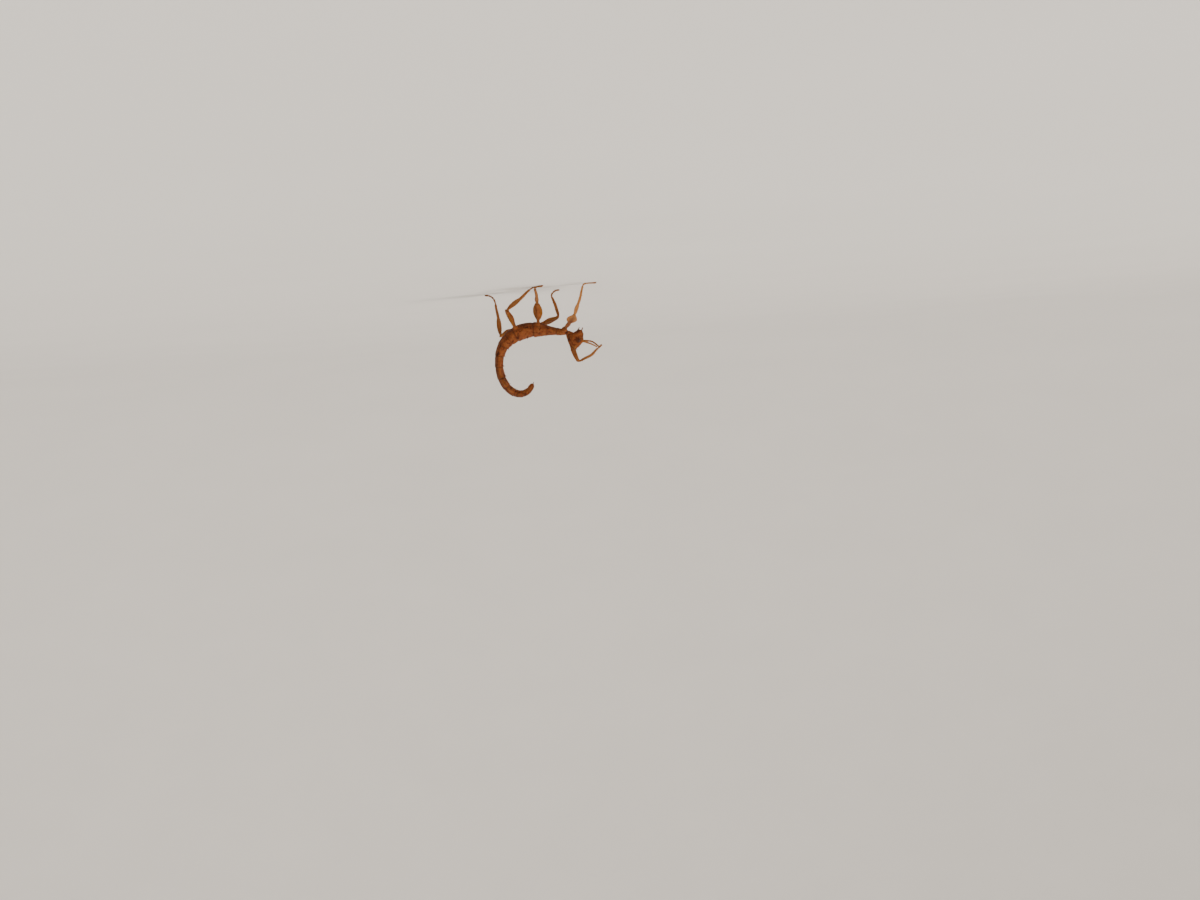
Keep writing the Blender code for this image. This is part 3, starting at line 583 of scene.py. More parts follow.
def round_off(count, corners=len(ROUND_ANGLES)):
    """Weights that turn a closed polygon's corners into points of a smooth closed curve (cubic B-spline)."""
    t = np.arange(count) * corners / count
    i, f = np.floor(t).astype(int), t % 1
    weights = np.zeros((count, corners))
    shares = ((1 - f) ** 3, 3 * f**3 - 6 * f**2 + 4, -3 * f**3 + 3 * f**2 + 3 * f + 1, f**3)
    for step, share in zip((-1, 0, 1, 2), shares):
        weights[np.arange(count), (i + step) % corners] += share / 6
    return weights


def lobe_rise(share, lobes, length):
    """Height of a leafy edge: the largest of the lobes' rounded rises, cut into forward-leaning teeth."""
    rises = [h * np.clip(1 - ((share - middle) / spread) ** 2, 0, None) ** 0.8 for middle, spread, h in lobes]
    saw = (share * length / LOBE_TOOTH) % 1
    tooth = np.where(saw < 0.7, saw / 0.7, (1 - saw) / 0.3)
    return np.max(rises, axis=0) * (0.86 + 0.2 * tooth)


def own(table, name):
    """The value that a table holds for one leg, or for its pair of legs."""
    return table[name] if name in table else table[name.split("_")[0]]


def leg_line(name):
    """The leg's middle line, the distances of hip, knee, ankle and end along it, and two directions:
    that of the knee's hinge and that in which the foot lies."""
    root, hip, knee, ankle, toe = (np.array(joint) for joint in LEGS[name] + FEET[name])
    down, out = unit(knee - hip), unit(ankle - knee)
    coxa = bezier(root, hip - down * 0.4 * np.linalg.norm(hip - root), hip)
    before, after = knee - down * KNEE_BEND, knee + out * KNEE_BEND
    u = np.linspace(0, 1, 80)[:, None]
    ahead = unit(np.array([0, -1.0, 0]) + out[1] * out)
    shank = after + u * (ankle - after) + own(SHANK_BOW, name) * np.sin(np.pi * u) ** 2 * ahead
    level = unit((toe - ankle) * [1, 1, 0 if toe[2] < 1 else 1])
    reach = np.linalg.norm(toe - ankle)
    foot = bezier(ankle, ankle + out * 0.3 * reach, toe - level * 0.55 * reach, toe)
    stretches = [coxa, hip + u * (before - hip), bezier(before, knee, after), shank, foot]
    line = Line(np.vstack([stretches[0]] + [one[1:] for one in stretches[1:]]))
    counts = np.cumsum([len(stretches[0])] + [len(one) - 1 for one in stretches[1:]])
    knee_middle = (line.along[counts[1] - 1] + line.along[counts[2] - 1]) / 2
    joints = (line.along[counts[0] - 1], knee_middle, line.along[counts[3] - 1], line.length)
    return line, joints, unit(np.cross(out, down)), level


def leg_skin(name):
    """The whole leg as one tube with its marks, and what grows on it needs: its line, joints, sides,
    ups, distances and heights.

    The section is a ten-cornered polygon rounded off: a circle at coxa and foot, and between them a
    triangle with a ridge above, two thin lobes and a keel below. At each joint the leg swells a
    little and is nipped in. The foot swells five times, and what meets the floor is pressed flat."""
    line, (hip, knee, ankle, end), hinge, level = leg_line(name)
    dense = np.linspace(0, line.length, 3000)
    places = (0, hip, hip + 1, knee - 1, knee, knee + 1, ankle - 0.6, ankle)
    step = np.interp(dense, places, (0.16, 0.09, 0.12, 0.12, 0.06, 0.12, 0.13, 0.07))
    density = np.append(0, np.cumsum((dense[1] - dense[0]) / step[1:]))
    s = np.interp(np.linspace(0, density[-1], int(density[-1])), density, dense)
    coxa_share, femur_share = s / hip, (s - hip) / (knee - hip)
    tibia_share, foot_share = (s - knee) / (ankle - knee), (s - ankle) / (end - ankle)
    femur, tibia = own(LEG_FORMS, name)
    stage = np.searchsorted((hip, knee, ankle), s, side="right")  # coxa 0, femur 1, tibia 2, foot 3

    taper = [1 - 0.12 * np.cos(2 * np.pi * share) for share in (femur_share, tibia_share)]
    joint = np.clip(np.searchsorted(FOOT_JOINTS, foot_share, side="right") - 1, 0, 4)
    inside = (foot_share - FOOT_JOINTS[joint]) / (FOOT_JOINTS[joint + 1] - FOOT_JOINTS[joint])
    foot_swell = np.interp(inside, (0, 0.08, 0.3, 0.7, 0.93, 1.0), (0.55, 0.7, 0.85, 0.98, 1.12, 0.6))
    foot_thick = FOOT_RADIUS * foot_swell * np.interp(foot_share, (0, 0.1, 0.7, 0.9), (1.05, 1, 0.9, 1.1))
    pad_share = (foot_share - FOOT_JOINTS[-1]) / (1 - FOOT_JOINTS[-1])
    pad_swell = np.interp(pad_share, (0, 0.2, 0.5, 0.8, 0.93, 1), (0.5, 0.78, 1.0, 0.9, 0.66, 0.3))
    foot_thick = np.where(pad_share > 0, FOOT_RADIUS * pad_swell, foot_thick)
    coxa_thick = np.interp(coxa_share, (0, 0.12, 0.35, 0.85, 1), (0.45, 0.72, 0.92, 0.66, 0.5)) * 0.97
    a = np.choose(stage, [coxa_thick, femur[0] * taper[0], tibia[0] * taper[1], foot_thick])
    b = np.choose(stage, [coxa_thick, femur[1] * taper[0], tibia[1] * taper[1], foot_thick])
    swell = 1 + 0.1 * bell((s - knee + 0.35) / 0.25) - 0.28 * bell((s - knee) / 0.08)
    swell += 0.16 * bell((s - hip - 0.28) / 0.16) - 0.22 * bell((s - hip - 0.02) / 0.07)
    swell += 0.16 * bell((s - ankle + 0.2) / 0.16) - 0.12 * bell((s - ankle) / 0.06)
    a, b = a * swell, b * swell
    arch = [np.sin(np.pi * np.clip(share, 0, 1)) ** 2 for share in (femur_share, tibia_share)]
    keel = np.choose(stage, [0 * s, femur[2] * arch[0], tibia[2] * arch[1], 0 * s])
    thigh_lobes = lobe_rise(femur_share, femur[3], knee - hip)
    shank_lobes = lobe_rise(tibia_share, tibia[3], ankle - knee)
    lobe = np.choose(stage, [0 * s, thigh_lobes, shank_lobes, 0 * s])
    leafy = np.clip((s - hip) / 1.2, 0, 1) * np.clip((ankle - s) / 1.0, 0, 1)
    rim = np.minimum(LOBE_EDGE, 1.6 * b)
    tip = a + 1.12 * lobe
    right = np.stack([tip, tip, 0.5 * a], -1)
    left_low = np.stack([-0.85 * a, -0.4 * a], -1)
    leaf_side = np.concatenate([right, -right[:, ::-1], left_low, -left_low[:, ::-1]], -1)
    top = np.stack([b - rim, b, 1.15 * b], -1)
    low = np.stack([-0.35 * b, -b - keel], -1)
    leaf_high = np.concatenate([top, top[:, ::-1], low, low[:, ::-1]], -1)
    circle = np.stack([np.cos(ROUND_ANGLES), np.sin(ROUND_ANGLES)], -1) * 1.07
    leaf = np.stack([leaf_side, leaf_high], -1) * 1.04
    plain = circle * np.stack([a, b], -1)[:, None]
    corners = plain + leafy[:, None, None] * (leaf - plain)
    section = np.einsum("mk,nkc->nmc", round_off(LEG_SIDES), corners)

    flat = unit(np.cross(np.array([0, 0, 1.0]), level))
    flat = flat * np.sign(flat @ hinge + 1e-9)
    turn = np.clip((s - ankle + 0.5) / 1.5, 0, 1)[:, None]
    place, side, up, _ = line.frame(s, unit(hinge * (1 - turn) + flat * turn))
    beyond = np.abs(section[..., 0]) - a[:, None]  # how far out in a lobe
    ribs = 0.03 * np.cos(2 * np.pi * s / LOBE_TOOTH)[:, None] * np.clip(beyond / 0.3, 0, 1)
    section = section + np.stack([0 * ribs, ribs * np.sign(section[..., 1])], -1)
    points = place[:, None] + section[..., :1] * side[:, None] + section[..., 1:] * up[:, None]
    pad = bell((inside - 0.8) / 0.25) * ((stage == 3) & (foot_share < 0.92))
    points[..., 2] -= 0.09 * pad[:, None] * np.clip(-section[..., 1] / FOOT_RADIUS, 0, 1)
    uneven = ripple(points) * (0.03 + 0.03 * (stage == 0)[:, None]) * (stage < 3)[:, None]
    points = points + uneven[..., None] * unit(points - place[:, None])
    points[..., 2] = np.maximum(points[..., 2], 0.0)
    # painted shade where the leg is nipped in at its joints
    nips = bell((s - knee) / 0.12) + bell((s - hip) / 0.1) + bell((s - ankle) / 0.09)
    nips = nips + (stage == 3) * (bell(inside / 0.09) + bell((inside - 1) / 0.06))
    # the edge mark is a painted glow of light through the thin lobes
    leaf_edge = np.clip(beyond / 0.5, 0, 1) * (leafy > 0)[:, None]
    sunlit = np.clip(4 * PALENESS_AND_SUN[name] - 3, 0, 1)  # a leg this pale is painted as sunlit: painted sunlight on its lobes and a painted shadow along the femur's ridge
    sunlit_leaf = sunlit * leaf_edge
    # painted shadow along the ridge of the sunlit femur
    midrib_shadow = sunlit * bell(section[..., 0] / a[:, None])
    midrib_shadow = midrib_shadow * (np.clip(lobe / 0.3, 0, 1) * (stage == 1))[:, None]
    # paler towards the feet; on the left front leg this is mostly painted sunlight
    pale = PALENESS_AND_SUN[name] * np.clip((s - knee) / 4 + PALENESS_AND_SUN[name], 0, 1)[:, None]
    marks = {
        "edge": leaf_edge * (1 - sunlit_leaf),
        "crease": np.clip(nips[:, None] + midrib_shadow, 0, 1),
        "pale": np.maximum(pale, sunlit_leaf),
        "leg": np.clip(s / hip, 0, 1)[:, None],
    }
    return tube(points, **marks), (line, (hip, knee, ankle, end), side, up, s, b)


leg_ends = {}
for name in LEGS:
    skin_parts[f"leg_{name}"], (line, joints, side, up, s, b) = leg_skin(name)
    leg_ends[name] = (line, joints, side[-1], up[-1], s)
    hip, knee, ankle, _ = joints
    for at in (*np.linspace(hip + 1.4, knee - 1.2, 6), *np.linspace(knee + 1.4, ankle - 1.6, 4)):
        row = int(np.argmin(np.abs(s - at)))
        place, ahead = line.read(line.points, s[row]), unit(line.read(line.slope, s[row]))
        root, lean = place + up[row] * b[row] * 1.1, up[row] + 0.6 * ahead
        spines.append(thorn(root, lean, *LEG_SPINE, 0.25 * ahead, sides=6, rows=5, sunk=0.15))

# ---- the skin ----
# Trunk, head and legs are one unbroken hide. Its outer layer is a matt, faintly see-through brown
# cuticle: mottled, with painted shade below and in the folds, a painted glow of light through the thin
# lobes, and paler towards the feet; on the left front leg the paleness is painted sunlight, with a
# painted shadow along the femur's ridge.

SLIVER = 0.003  # edges shorter than this, left where two shapes cross, are closed up
FLESH = [node for node in frame["nodes"] if not node.startswith(("eye_", "antenna_"))]
# The dark colour serves as painted shade below and in the folds, and as the dark tips of the spines; the gold
# is a painted glow of light through the thin lobes; the pale makes the legs paler towards the feet and paints
# sunlight on the left front leg.
DARK, WARM, TAN = (0.028, 0.008, 0.004, 1), (0.135, 0.032, 0.009, 1), (0.21, 0.078, 0.017, 1)
GOLD_GLOW, PALE_AND_SUNLIT = (0.2, 0.07, 0.01, 1), (0.44, 0.2, 0.062, 1)
RUST, SOOT = (0.195, 0.054, 0.014, 1), (0.058, 0.014, 0.004, 1)
SPECK_GAP = 1 / 3  # from one fine speck to the next


def add_node(tree, kind, values=None, **settings):
    """One shader node with its settings, and values or links for its inputs by name or number."""
    node = tree.nodes.new(kind)
    for key, value in settings.items():
        setattr(node, key, value)
    for key, value in (values or {}).items():
        if isinstance(value, bpy.types.NodeSocket):
            tree.links.new(value, node.inputs[key])
        else:
            node.inputs[key].default_value = value
    return node


def blend_colour(tree, factor, low, high):
    """The colour that lies between low and high by the factor."""
    return add_node(tree, "ShaderNodeMix", {0: factor, 6: low, 7: high}, data_type="RGBA").outputs[2]


def ramp(tree, value, low, high):
    """value brought to 0 at low and 1 at high, smoothly."""
    ends = {"Value": value, "From Min": low, "From Max": high}
    return add_node(tree, "ShaderNodeMapRange", ends, interpolation_type="SMOOTHSTEP").outputs["Result"]


def math_node(tree, operation, first, second):
    """The two values brought together by the operation."""
    return add_node(tree, "ShaderNodeMath", {0: first, 1: second}, operation=operation).outputs[0]


def mark(tree, name):
    """The mark of that name on the mesh."""
    return add_node(tree, "ShaderNodeAttribute", attribute_name=name).outputs["Fac"]


def object_place(tree):
    """The place of a point in its object's own space."""
    return add_node(tree, "ShaderNodeTexCoord").outputs["Object"]


def cuticle_group():
    """Mottling, specks and a grain for hard skin, from noise in the object's own space.

    Spots are where a coarse noise is high, specks where the distance to the nearest of many scattered
    points is small, and the grain's height adds fine noise to rounded cells."""
    group = bpy.data.node_groups.new("hard_skin", "ShaderNodeTree")
    for label, value in (("Spot size", 1.1), ("Grain size", 0.14)):
        group.interface.new_socket(label, in_out="INPUT", socket_type="NodeSocketFloat").default_value = value
    for label in ("Spots", "Specks", "Grain"):
        group.interface.new_socket(label, in_out="OUTPUT", socket_type="NodeSocketFloat")
    start, place = group.nodes.new("NodeGroupInput"), object_place(group)
    spot_scale, grain_scale = (math_node(group, "DIVIDE", 1 / MM, start.outputs[k]) for k in range(2))
    blotches = {"Vector": place, "Scale": spot_scale, "Detail": 4.0, "Roughness": 0.62, "Distortion": 0.6}
    spots = add_node(group, "ShaderNodeTexNoise", blotches)
    cells = add_node(group, "ShaderNodeTexVoronoi", {"Vector": place, "Scale": grain_scale})
    dust = {"Vector": place, "Scale": grain_scale, "Detail": 3.0, "Roughness": 0.7}
    fine = add_node(group, "ShaderNodeTexNoise", dust)
    round_cells = ramp(group, cells.outputs["Distance"], 0.75, 0.1)
    sparse = add_node(group, "ShaderNodeTexVoronoi", {"Vector": place, "Scale": 1 / (SPECK_GAP * MM)})
    results = {
        "Spots": spots.outputs["Fac"],
        "Specks": ramp(group, sparse.outputs["Distance"], 0.3, 0.12),
        "Grain": math_node(group, "ADD", round_cells, fine.outputs["Fac"]),
    }
    add_node(group, "NodeGroupOutput", results)
    return group


HARD_SKIN = cuticle_group()


def new_material(name, **constants):
    """A material with a Principled shader whose constants are set on its own sockets."""
    material = bpy.data.materials.new(name)
    material.use_nodes = True
    shader = material.node_tree.nodes["Principled BSDF"]
    for label, value in constants.items():
        shader.inputs[label.replace("_", " ")].default_value = value
    return material, material.node_tree, shader


def finish_material(tree, shader, colour, uneven, rough_ends, bump=None, invert=False):
    """Leads a colour to the shader, a roughness that goes from one end to the other as a value goes from
    0 to 1, and a bump from its height, strength and depth in millimetres."""
    tree.links.new(colour, shader.inputs["Base Color"])
    ends = {"Value": uneven, "To Min": rough_ends[0], "To Max": rough_ends[1]}
    tree.links.new(add_node(tree, "ShaderNodeMapRange", ends).outputs["Result"], shader.inputs["Roughness"])
    if bump is not None:
        relief = {"Height": bump[0], "Strength": bump[1], "Distance": bump[2] * MM}
        normal = add_node(tree, "ShaderNodeBump", relief, invert=invert).outputs["Normal"]
        tree.links.new(normal, shader.inputs["Normal"])


def islands(count, edges):
    """For each point, the lowest number of any point that edges join it to.

    Each round a point takes the lowest number among its neighbours, and then that point's own."""
    lowest = np.arange(count)
    while True:
        step = lowest.copy()
        np.minimum.at(step, edges[:, 0], lowest[edges[:, 1]])
        np.minimum.at(step, edges[:, 1], lowest[edges[:, 0]])
        step = step[step]
        if np.array_equal(step, lowest):
            return lowest
        lowest = step


skin_material, tree, shader = new_material(
    "cuticle",
    Subsurface_Weight=0.12,
    Subsurface_Radius=(1.0, 0.35, 0.12),
    Subsurface_Scale=0.6 * MM,
    Specular_IOR_Level=0.12,
)
hard = add_node(tree, "ShaderNodeGroup", {"Spot size": 1.3, "Grain size": 0.13}, node_tree=HARD_SKIN)
spots, specks, grain = (hard.outputs[label] for label in ("Spots", "Specks", "Grain"))
colour = blend_colour(tree, ramp(tree, spots, 0.38, 0.62), WARM, RUST)
layers = [
    (ramp(tree, spots, 0.46, 0.34), SOOT),
    (math_node(tree, "MULTIPLY", mark(tree, "leg"), 0.3), TAN),
    # paler towards the feet, and painted sunlight on the left front leg
    (math_node(tree, "MULTIPLY", mark(tree, "pale"), 0.7), PALE_AND_SUNLIT),
    # painted glow of light shining through the thin lobes
    (ramp(tree, mark(tree, "edge"), 0.1, 1.0), GOLD_GLOW),
    # painted shade on the underside
    (math_node(tree, "MULTIPLY", mark(tree, "belly"), 0.55), DARK),
    (math_node(tree, "MULTIPLY", mark(tree, "grain"), 0.6), TAN),
    (ramp(tree, specks, 0.0, 3.0), TAN),
    # painted shade in folds, grooves, pits and joints
    (math_node(tree, "MULTIPLY", mark(tree, "crease"), 0.5), DARK),
    (ramp(tree, mark(tree, "spine"), 0.45, 0.95), DARK),
]
for factor, layer in layers:
    colour = blend_colour(tree, factor, colour, layer)
finish_material(tree, shader, colour, spots, (0.86, 0.64), bump=(grain, 0.5, 0.035))

# all the shapes are united, and slivers and closed hollows that the union leaves are taken out
limbs = bpy.data.collections.new("limbs")
bpy.context.scene.collection.children.link(limbs)
trunk_shape = skin_parts.pop("trunk")
trunk = make_piece("skin", trunk_shape, skin_material)
for part_name, shape in [*skin_parts.items(), ("spines", gather(spines))]:
    piece = make_piece(part_name, shape, skin_material)
    bpy.context.scene.collection.objects.unlink(piece)
    limbs.objects.link(piece)
join = trunk.modifiers.new("one_hide", "BOOLEAN")
join.operation = "UNION"
join.solver = "MANIFOLD"
join.operand_type = "COLLECTION"
join.collection = limbs
bpy.context.view_layer.update()
hide = bpy.data.meshes.new_from_object(trunk.evaluated_get(bpy.context.evaluated_depsgraph_get()))
trunk.modifiers.clear()
trunk.data = hide
for piece in list(limbs.objects):
    bpy.data.objects.remove(piece)
bpy.data.collections.remove(limbs)
cleaner = bmesh.new()
cleaner.from_mesh(hide)
bmesh.ops.dissolve_degenerate(cleaner, edges=cleaner.edges, dist=SLIVER * MM)
cleaner.to_mesh(hide)
edge_ends = np.empty(2 * len(hide.edges), np.int32)
hide.edges.foreach_get("vertices", edge_ends)
island = islands(len(hide.vertices), edge_ends.reshape(-1, 2))
cleaner.verts.ensure_lookup_table()
hollows = [cleaner.verts[i] for i in np.nonzero(island != np.bincount(island).argmax())[0]]
bmesh.ops.delete(cleaner, geom=hollows, context="VERTS")
cleaner.to_mesh(hide)
cleaner.free()
hide.shade_smooth()
hide.set_sharp_from_angle(angle=SHARP)
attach(trunk, "root")
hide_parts(*FLESH)

# ---- the claws ----
# Each foot ends in a pair of curved, horn-dark claws with a soft pale pad between them.

CLAW_LENGTH, CLAW_RADIUS = 0.62, 0.115
CLAW_FORM = {"rows": 16, "sides": 12, "sunk": 0.02, "slim": 0.62, "flare": 0.1}

claw_material, tree, shader = new_material("claw_horn", Coat_Weight=0.3, Coat_Roughness=0.2)
tip_share = ramp(tree, mark(tree, "spine"), 0.1, 0.8)
colour = blend_colour(tree, tip_share, (0.2, 0.08, 0.025, 1), (0.03, 0.012, 0.006, 1))
noise = add_node(tree, "ShaderNodeTexNoise", {"Scale": 6 / MM, "Vector": object_place(tree)})
finish_material(tree, shader, colour, noise.outputs["Fac"], (0.22, 0.4))

claws = []
for line, (_, _, ankle, end), side, up, _ in leg_ends.values():
    foot_end = ankle + FOOT_JOINTS[-1] * (end - ankle)
    place, ahead = line.read(line.points, foot_end - 0.08), unit(line.read(line.slope, foot_end))
    for hand in (1, -1):
        root = place + hand * 0.15 * side + 0.08 * up
        lean = ahead + 0.6 * hand * side + 0.35 * up
        sweep = -0.62 * up - 0.35 * hand * side
        points, faces, marks = thorn(root, lean, CLAW_LENGTH, CLAW_RADIUS, sweep, **CLAW_FORM)
        points[:, 2] = np.maximum(points[:, 2], 0.0)
        claws.append((points, faces, marks))
claw_piece = make_piece("claws", gather(claws), claw_material)
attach(claw_piece, "root")

# ---- the antennae ----
# Two golden-brown threads of many round joints: a stout first joint, a short second one, and then a
# thread of beads that thins towards its tip, with a darker band at every fourth joint.

# root, seat in the face, two points on the way, tip
ANTENNAE = {
    "left": [(0.6, -12.85, 17.35), (0.78, -13.62, 17.4), (1.15, -15.2, 17.5), (1.6, -16.9, 18.05)],
    "right": [(-0.45, -12.9, 17.15), (-0.78, -13.62, 17.4), (-1.5, -14.9, 17.9), (-2.5, -16.4, 18.5)],
}
ANTENNA_TIPS = {"left": (2.5, -18.9, 19.9), "right": (-4.3, -18.2, 19.5)}
ANTENNA_SIDES, ANTENNA_ROWS = 16, 320
ANTENNA_JOINTS = np.concatenate([[0, 1.6, 1.92], 1.92 + np.cumsum(np.linspace(0.52, 0.3, 26))])
ANTENNA_RADII = (0.32, 0.29, 0.28, 0.2)  # first joint, second joint, start and end of the thread


def antenna_skin(corners):
    """A round tube along the curve; in each joint the radius grows from a waist and closes again."""
    line = Line(curve(corners, 80))
    s = np.linspace(0, line.length, ANTENNA_ROWS)
    ends = ANTENNA_JOINTS[ANTENNA_JOINTS < line.length - 0.15]
    ends = np.append(ends, line.length)
    joint = np.clip(np.searchsorted(ends, s, side="right") - 1, 0, len(ends) - 2)
    inside = (s - ends[joint]) / (ends[joint + 1] - ends[joint])
    first, second, thick_end, thin_end = ANTENNA_RADII
    thread = np.interp(s, (ends[2], line.length), (thick_end, thin_end))
    full = np.choose(np.minimum(joint, 2), [first + 0 * s, second + 0 * s, thread])
    thick = full * np.interp(inside, (0, 0.06, 0.4, 0.85, 0.95, 1), (0.8, 0.9, 0.94, 1.06, 1.02, 0.82))
    thick = thick * np.sqrt(np.clip(1 - np.clip((s - line.length + 0.15) / 0.15, 0, 1) ** 2, 0.01, 1))
    place, side, up, _ = line.frame(s, np.array([0.4, 0.1, 0.9]))
    ring = circles(side, up, ANTENNA_SIDES)
    points = place[:, None] + thick[:, None, None] * ring
    points = points + 0.008 * ripple(3 * points)[..., None] * ring
    # painted shade where the joints of the antenna meet
    crease = np.clip(bell(inside / 0.07) + bell((inside - 1) / 0.06), 0, 1)
    band = np.clip((inside - 0.45) / 0.5, 0, 1) * (0.5 + 0.5 * (joint % 4 == 3))
    return tube(points, crease=crease[:, None], band=band[:, None])


antenna_material, tree, shader = new_material(
    "antenna_thread",
    Subsurface_Weight=0.15,
    Subsurface_Radius=(1.0, 0.45, 0.2),
    Subsurface_Scale=0.25 * MM,
    Specular_IOR_Level=0.15,
)
hard = add_node(tree, "ShaderNodeGroup", {"Spot size": 0.6, "Grain size": 0.08}, node_tree=HARD_SKIN)
spots, _, grain = hard.outputs
colour = blend_colour(tree, ramp(tree, spots, 0.2, 0.8), (0.2, 0.068, 0.012, 1), (0.31, 0.12, 0.028, 1))
colour = blend_colour(tree, ramp(tree, mark(tree, "band"), 0.0, 1.6), colour, (0.08, 0.022, 0.005, 1))
# painted shade where the joints meet
colour = blend_colour(tree, ramp(tree, mark(tree, "crease"), 0.0, 1.8), colour, DARK)
finish_material(tree, shader, colour, spots, (0.8, 0.6), bump=(grain, 0.4, 0.02))
antenna_shapes = {hand: antenna_skin([*points, ANTENNA_TIPS[hand]]) for hand, points in ANTENNAE.items()}
for hand, shape in antenna_shapes.items():
    piece = make_piece(f"antenna_thread_{hand}", shape, antenna_material)
    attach(piece, "root")
    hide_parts(f"antenna_{hand}")

# ---- the bristles ----
# Short stiff hairs, golden and tapering: thick on the feet and shins, scattered on the feelers, and very
# short and sparse on thighs, back and face. All lean towards the tip of what they grow on.

LANES = 12  # strips of the bristles' own map, one for each limb, feeler or part of the body
LEG_BRISTLES = ((70, 0.17), (170, 0.26), (150, 0.2))  # number and longest length on femur, tibia and foot
ANTENNA_BRISTLES, PALP_BRISTLES = (240, 0.17), (22, 0.15)
HEAD_BRISTLES, TRUNK_BRISTLES = (260, 0.12), (900, 0.12)
BRISTLES_CLEAR_OF_EYE = 0.8
BRISTLE_SHARES = np.array([0.0, 0.4, 0.75, 1.0])
BRISTLE_THICK = np.array([1.0, 0.8, 0.5, 0.08])
hair_dice = np.random.default_rng(11)


def growth(shape, sides, lane, first, last, number, longest):
    """Places, directions, map places and greatest lengths of hairs scattered over a tube's rings from
    first to last. A hair leaves square to the tube's middle line and leans as much again to its tip."""
    grid = shape[0][:-2].reshape(-1, sides, 3)
    middle = grid.mean(1)
    ahead = unit(np.gradient(middle, axis=0))
    row = hair_dice.uniform(first, last, number).astype(int)
    turn = hair_dice.integers(0, sides, number)
    root = grid[row, turn]
    lean = unit(root - middle[row]) + 0.9 * ahead[row] + hair_dice.normal(0, 0.15, (number, 3))
    spot = np.stack([(lane + 0.05 + 0.9 * turn / sides) / LANES, 0.02 + 0.96 * row / len(grid)], -1)
    return root, unit(lean), spot, np.full(number, longest)


def bristle_shape(root, lean, spot, length, radius):
    """Three-sided needles, bent a little towards the floor, with each one's map patch round its spot."""
    number = len(root)
    side = unit(np.cross(lean, [0.21, 0.35, 0.91]))
    ring = circles(side, np.cross(side, lean), 3)
    axis = root[:, None] + (BRISTLE_SHARES[:, None] * (length + 0.04)[:, None, None] - 0.04) * lean[:, None]
    axis[..., 2] -= 0.12 * length[:, None] * BRISTLE_SHARES**2
    needle = axis[:, :, None] + (radius[:, None] * BRISTLE_THICK)[:, :, None, None] * ring[:, None]
    points = np.concatenate([needle.reshape(number, -1, 3), axis[:, :1], axis[:, -1:]], 1)
    _, template, _ = tube(needle[0])
    faces = [[corner + i * points.shape[1] for corner in face] for i in range(number) for face in template]
    place = np.stack([np.cos(around(3)), np.sin(around(3))], -1) * 0.0015
    patch = np.concatenate([np.tile(place, (len(BRISTLE_SHARES), 1)), [[0, 0], [0.0005, 0]]])
    share = np.concatenate([np.repeat(BRISTLE_SHARES, 3), [0, 1]])
    points[..., 2] = np.maximum(points[..., 2], 0.002)
    marks = {"spine": np.tile(share, number)}
    return (points.reshape(-1, 3), faces, marks), (spot[:, None] + patch).reshape(-1, 2)


growths = []
for lane, name in enumerate(LEGS):
    _, (hip, knee, ankle, end), _, _, s = leg_ends[name]
    rows = np.searchsorted(s, [hip + 0.5, knee, ankle, end - 0.15])
    for first, last, hairs in zip(rows[:-1], rows[1:], LEG_BRISTLES):
        growths.append(growth(skin_parts[f"leg_{name}"], LEG_SIDES, lane, first, last, *hairs))
for lane, shape in enumerate(antenna_shapes.values(), 6):
    growths.append(growth(shape, ANTENNA_SIDES, lane, 40, ANTENNA_ROWS - 8, *ANTENNA_BRISTLES))
for part_name, shape in skin_parts.items():
    if part_name.startswith("palp"):
        palp_rows = (len(shape[0]) - 2) // PALP_SIDES
        growths.append(growth(shape, PALP_SIDES, 8, 4, palp_rows - 1, *PALP_BRISTLES))
growths.append(growth(skin_parts["head"], HEAD_SIDES, 9, 8, HEAD_ROWS - 10, *HEAD_BRISTLES))
growths.append(growth(trunk_shape, TRUNK_SIDES, 10, 12, TRUNK_ROWS - 14, *TRUNK_BRISTLES))
roots, leans, map_spots, longest = (np.concatenate(values) for values in zip(*growths))
lengths = longest * hair_dice.uniform(0.55, 1.0, len(roots))
hairs = (roots, leans, map_spots, lengths, 0.016 + 0.02 * longest)
clear = gap(roots, EYE_PLACE) > BRISTLES_CLEAR_OF_EYE
shape, map_spots = bristle_shape(*(values[clear] for values in hairs))

bristle_material, tree, shader = new_material(
    "golden_bristle", Roughness=0.45, Subsurface_Weight=0.1, Subsurface_Scale=0.05 * MM
)
colour = blend_colour(tree, mark(tree, "spine"), (0.12, 0.035, 0.008, 1), (0.4, 0.2, 0.07, 1))
tree.links.new(colour, shader.inputs["Base Color"])
bristle_piece = make_piece("bristles", shape, bristle_material)
bake_map = bristle_piece.data.uv_layers.new(name="OFBake")
corner_of = np.empty(len(bristle_piece.data.loops), np.int32)
bristle_piece.data.loops.foreach_get("vertex_index", corner_of)
bake_map.data.foreach_set("uv", map_spots[corner_of].astype(np.float32).ravel())
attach(bristle_piece, "root")

# ---- the eyes ----
# Small compound eyes, low domes of very many facets under a clear glossy skin, sunk in a raised rim.
# They are dark brown with a few darker stripes that run across from front to back.

EYE_RADIUS, EYE_PROUD, EYE_SUNK = 0.6, 0.52, 0.4

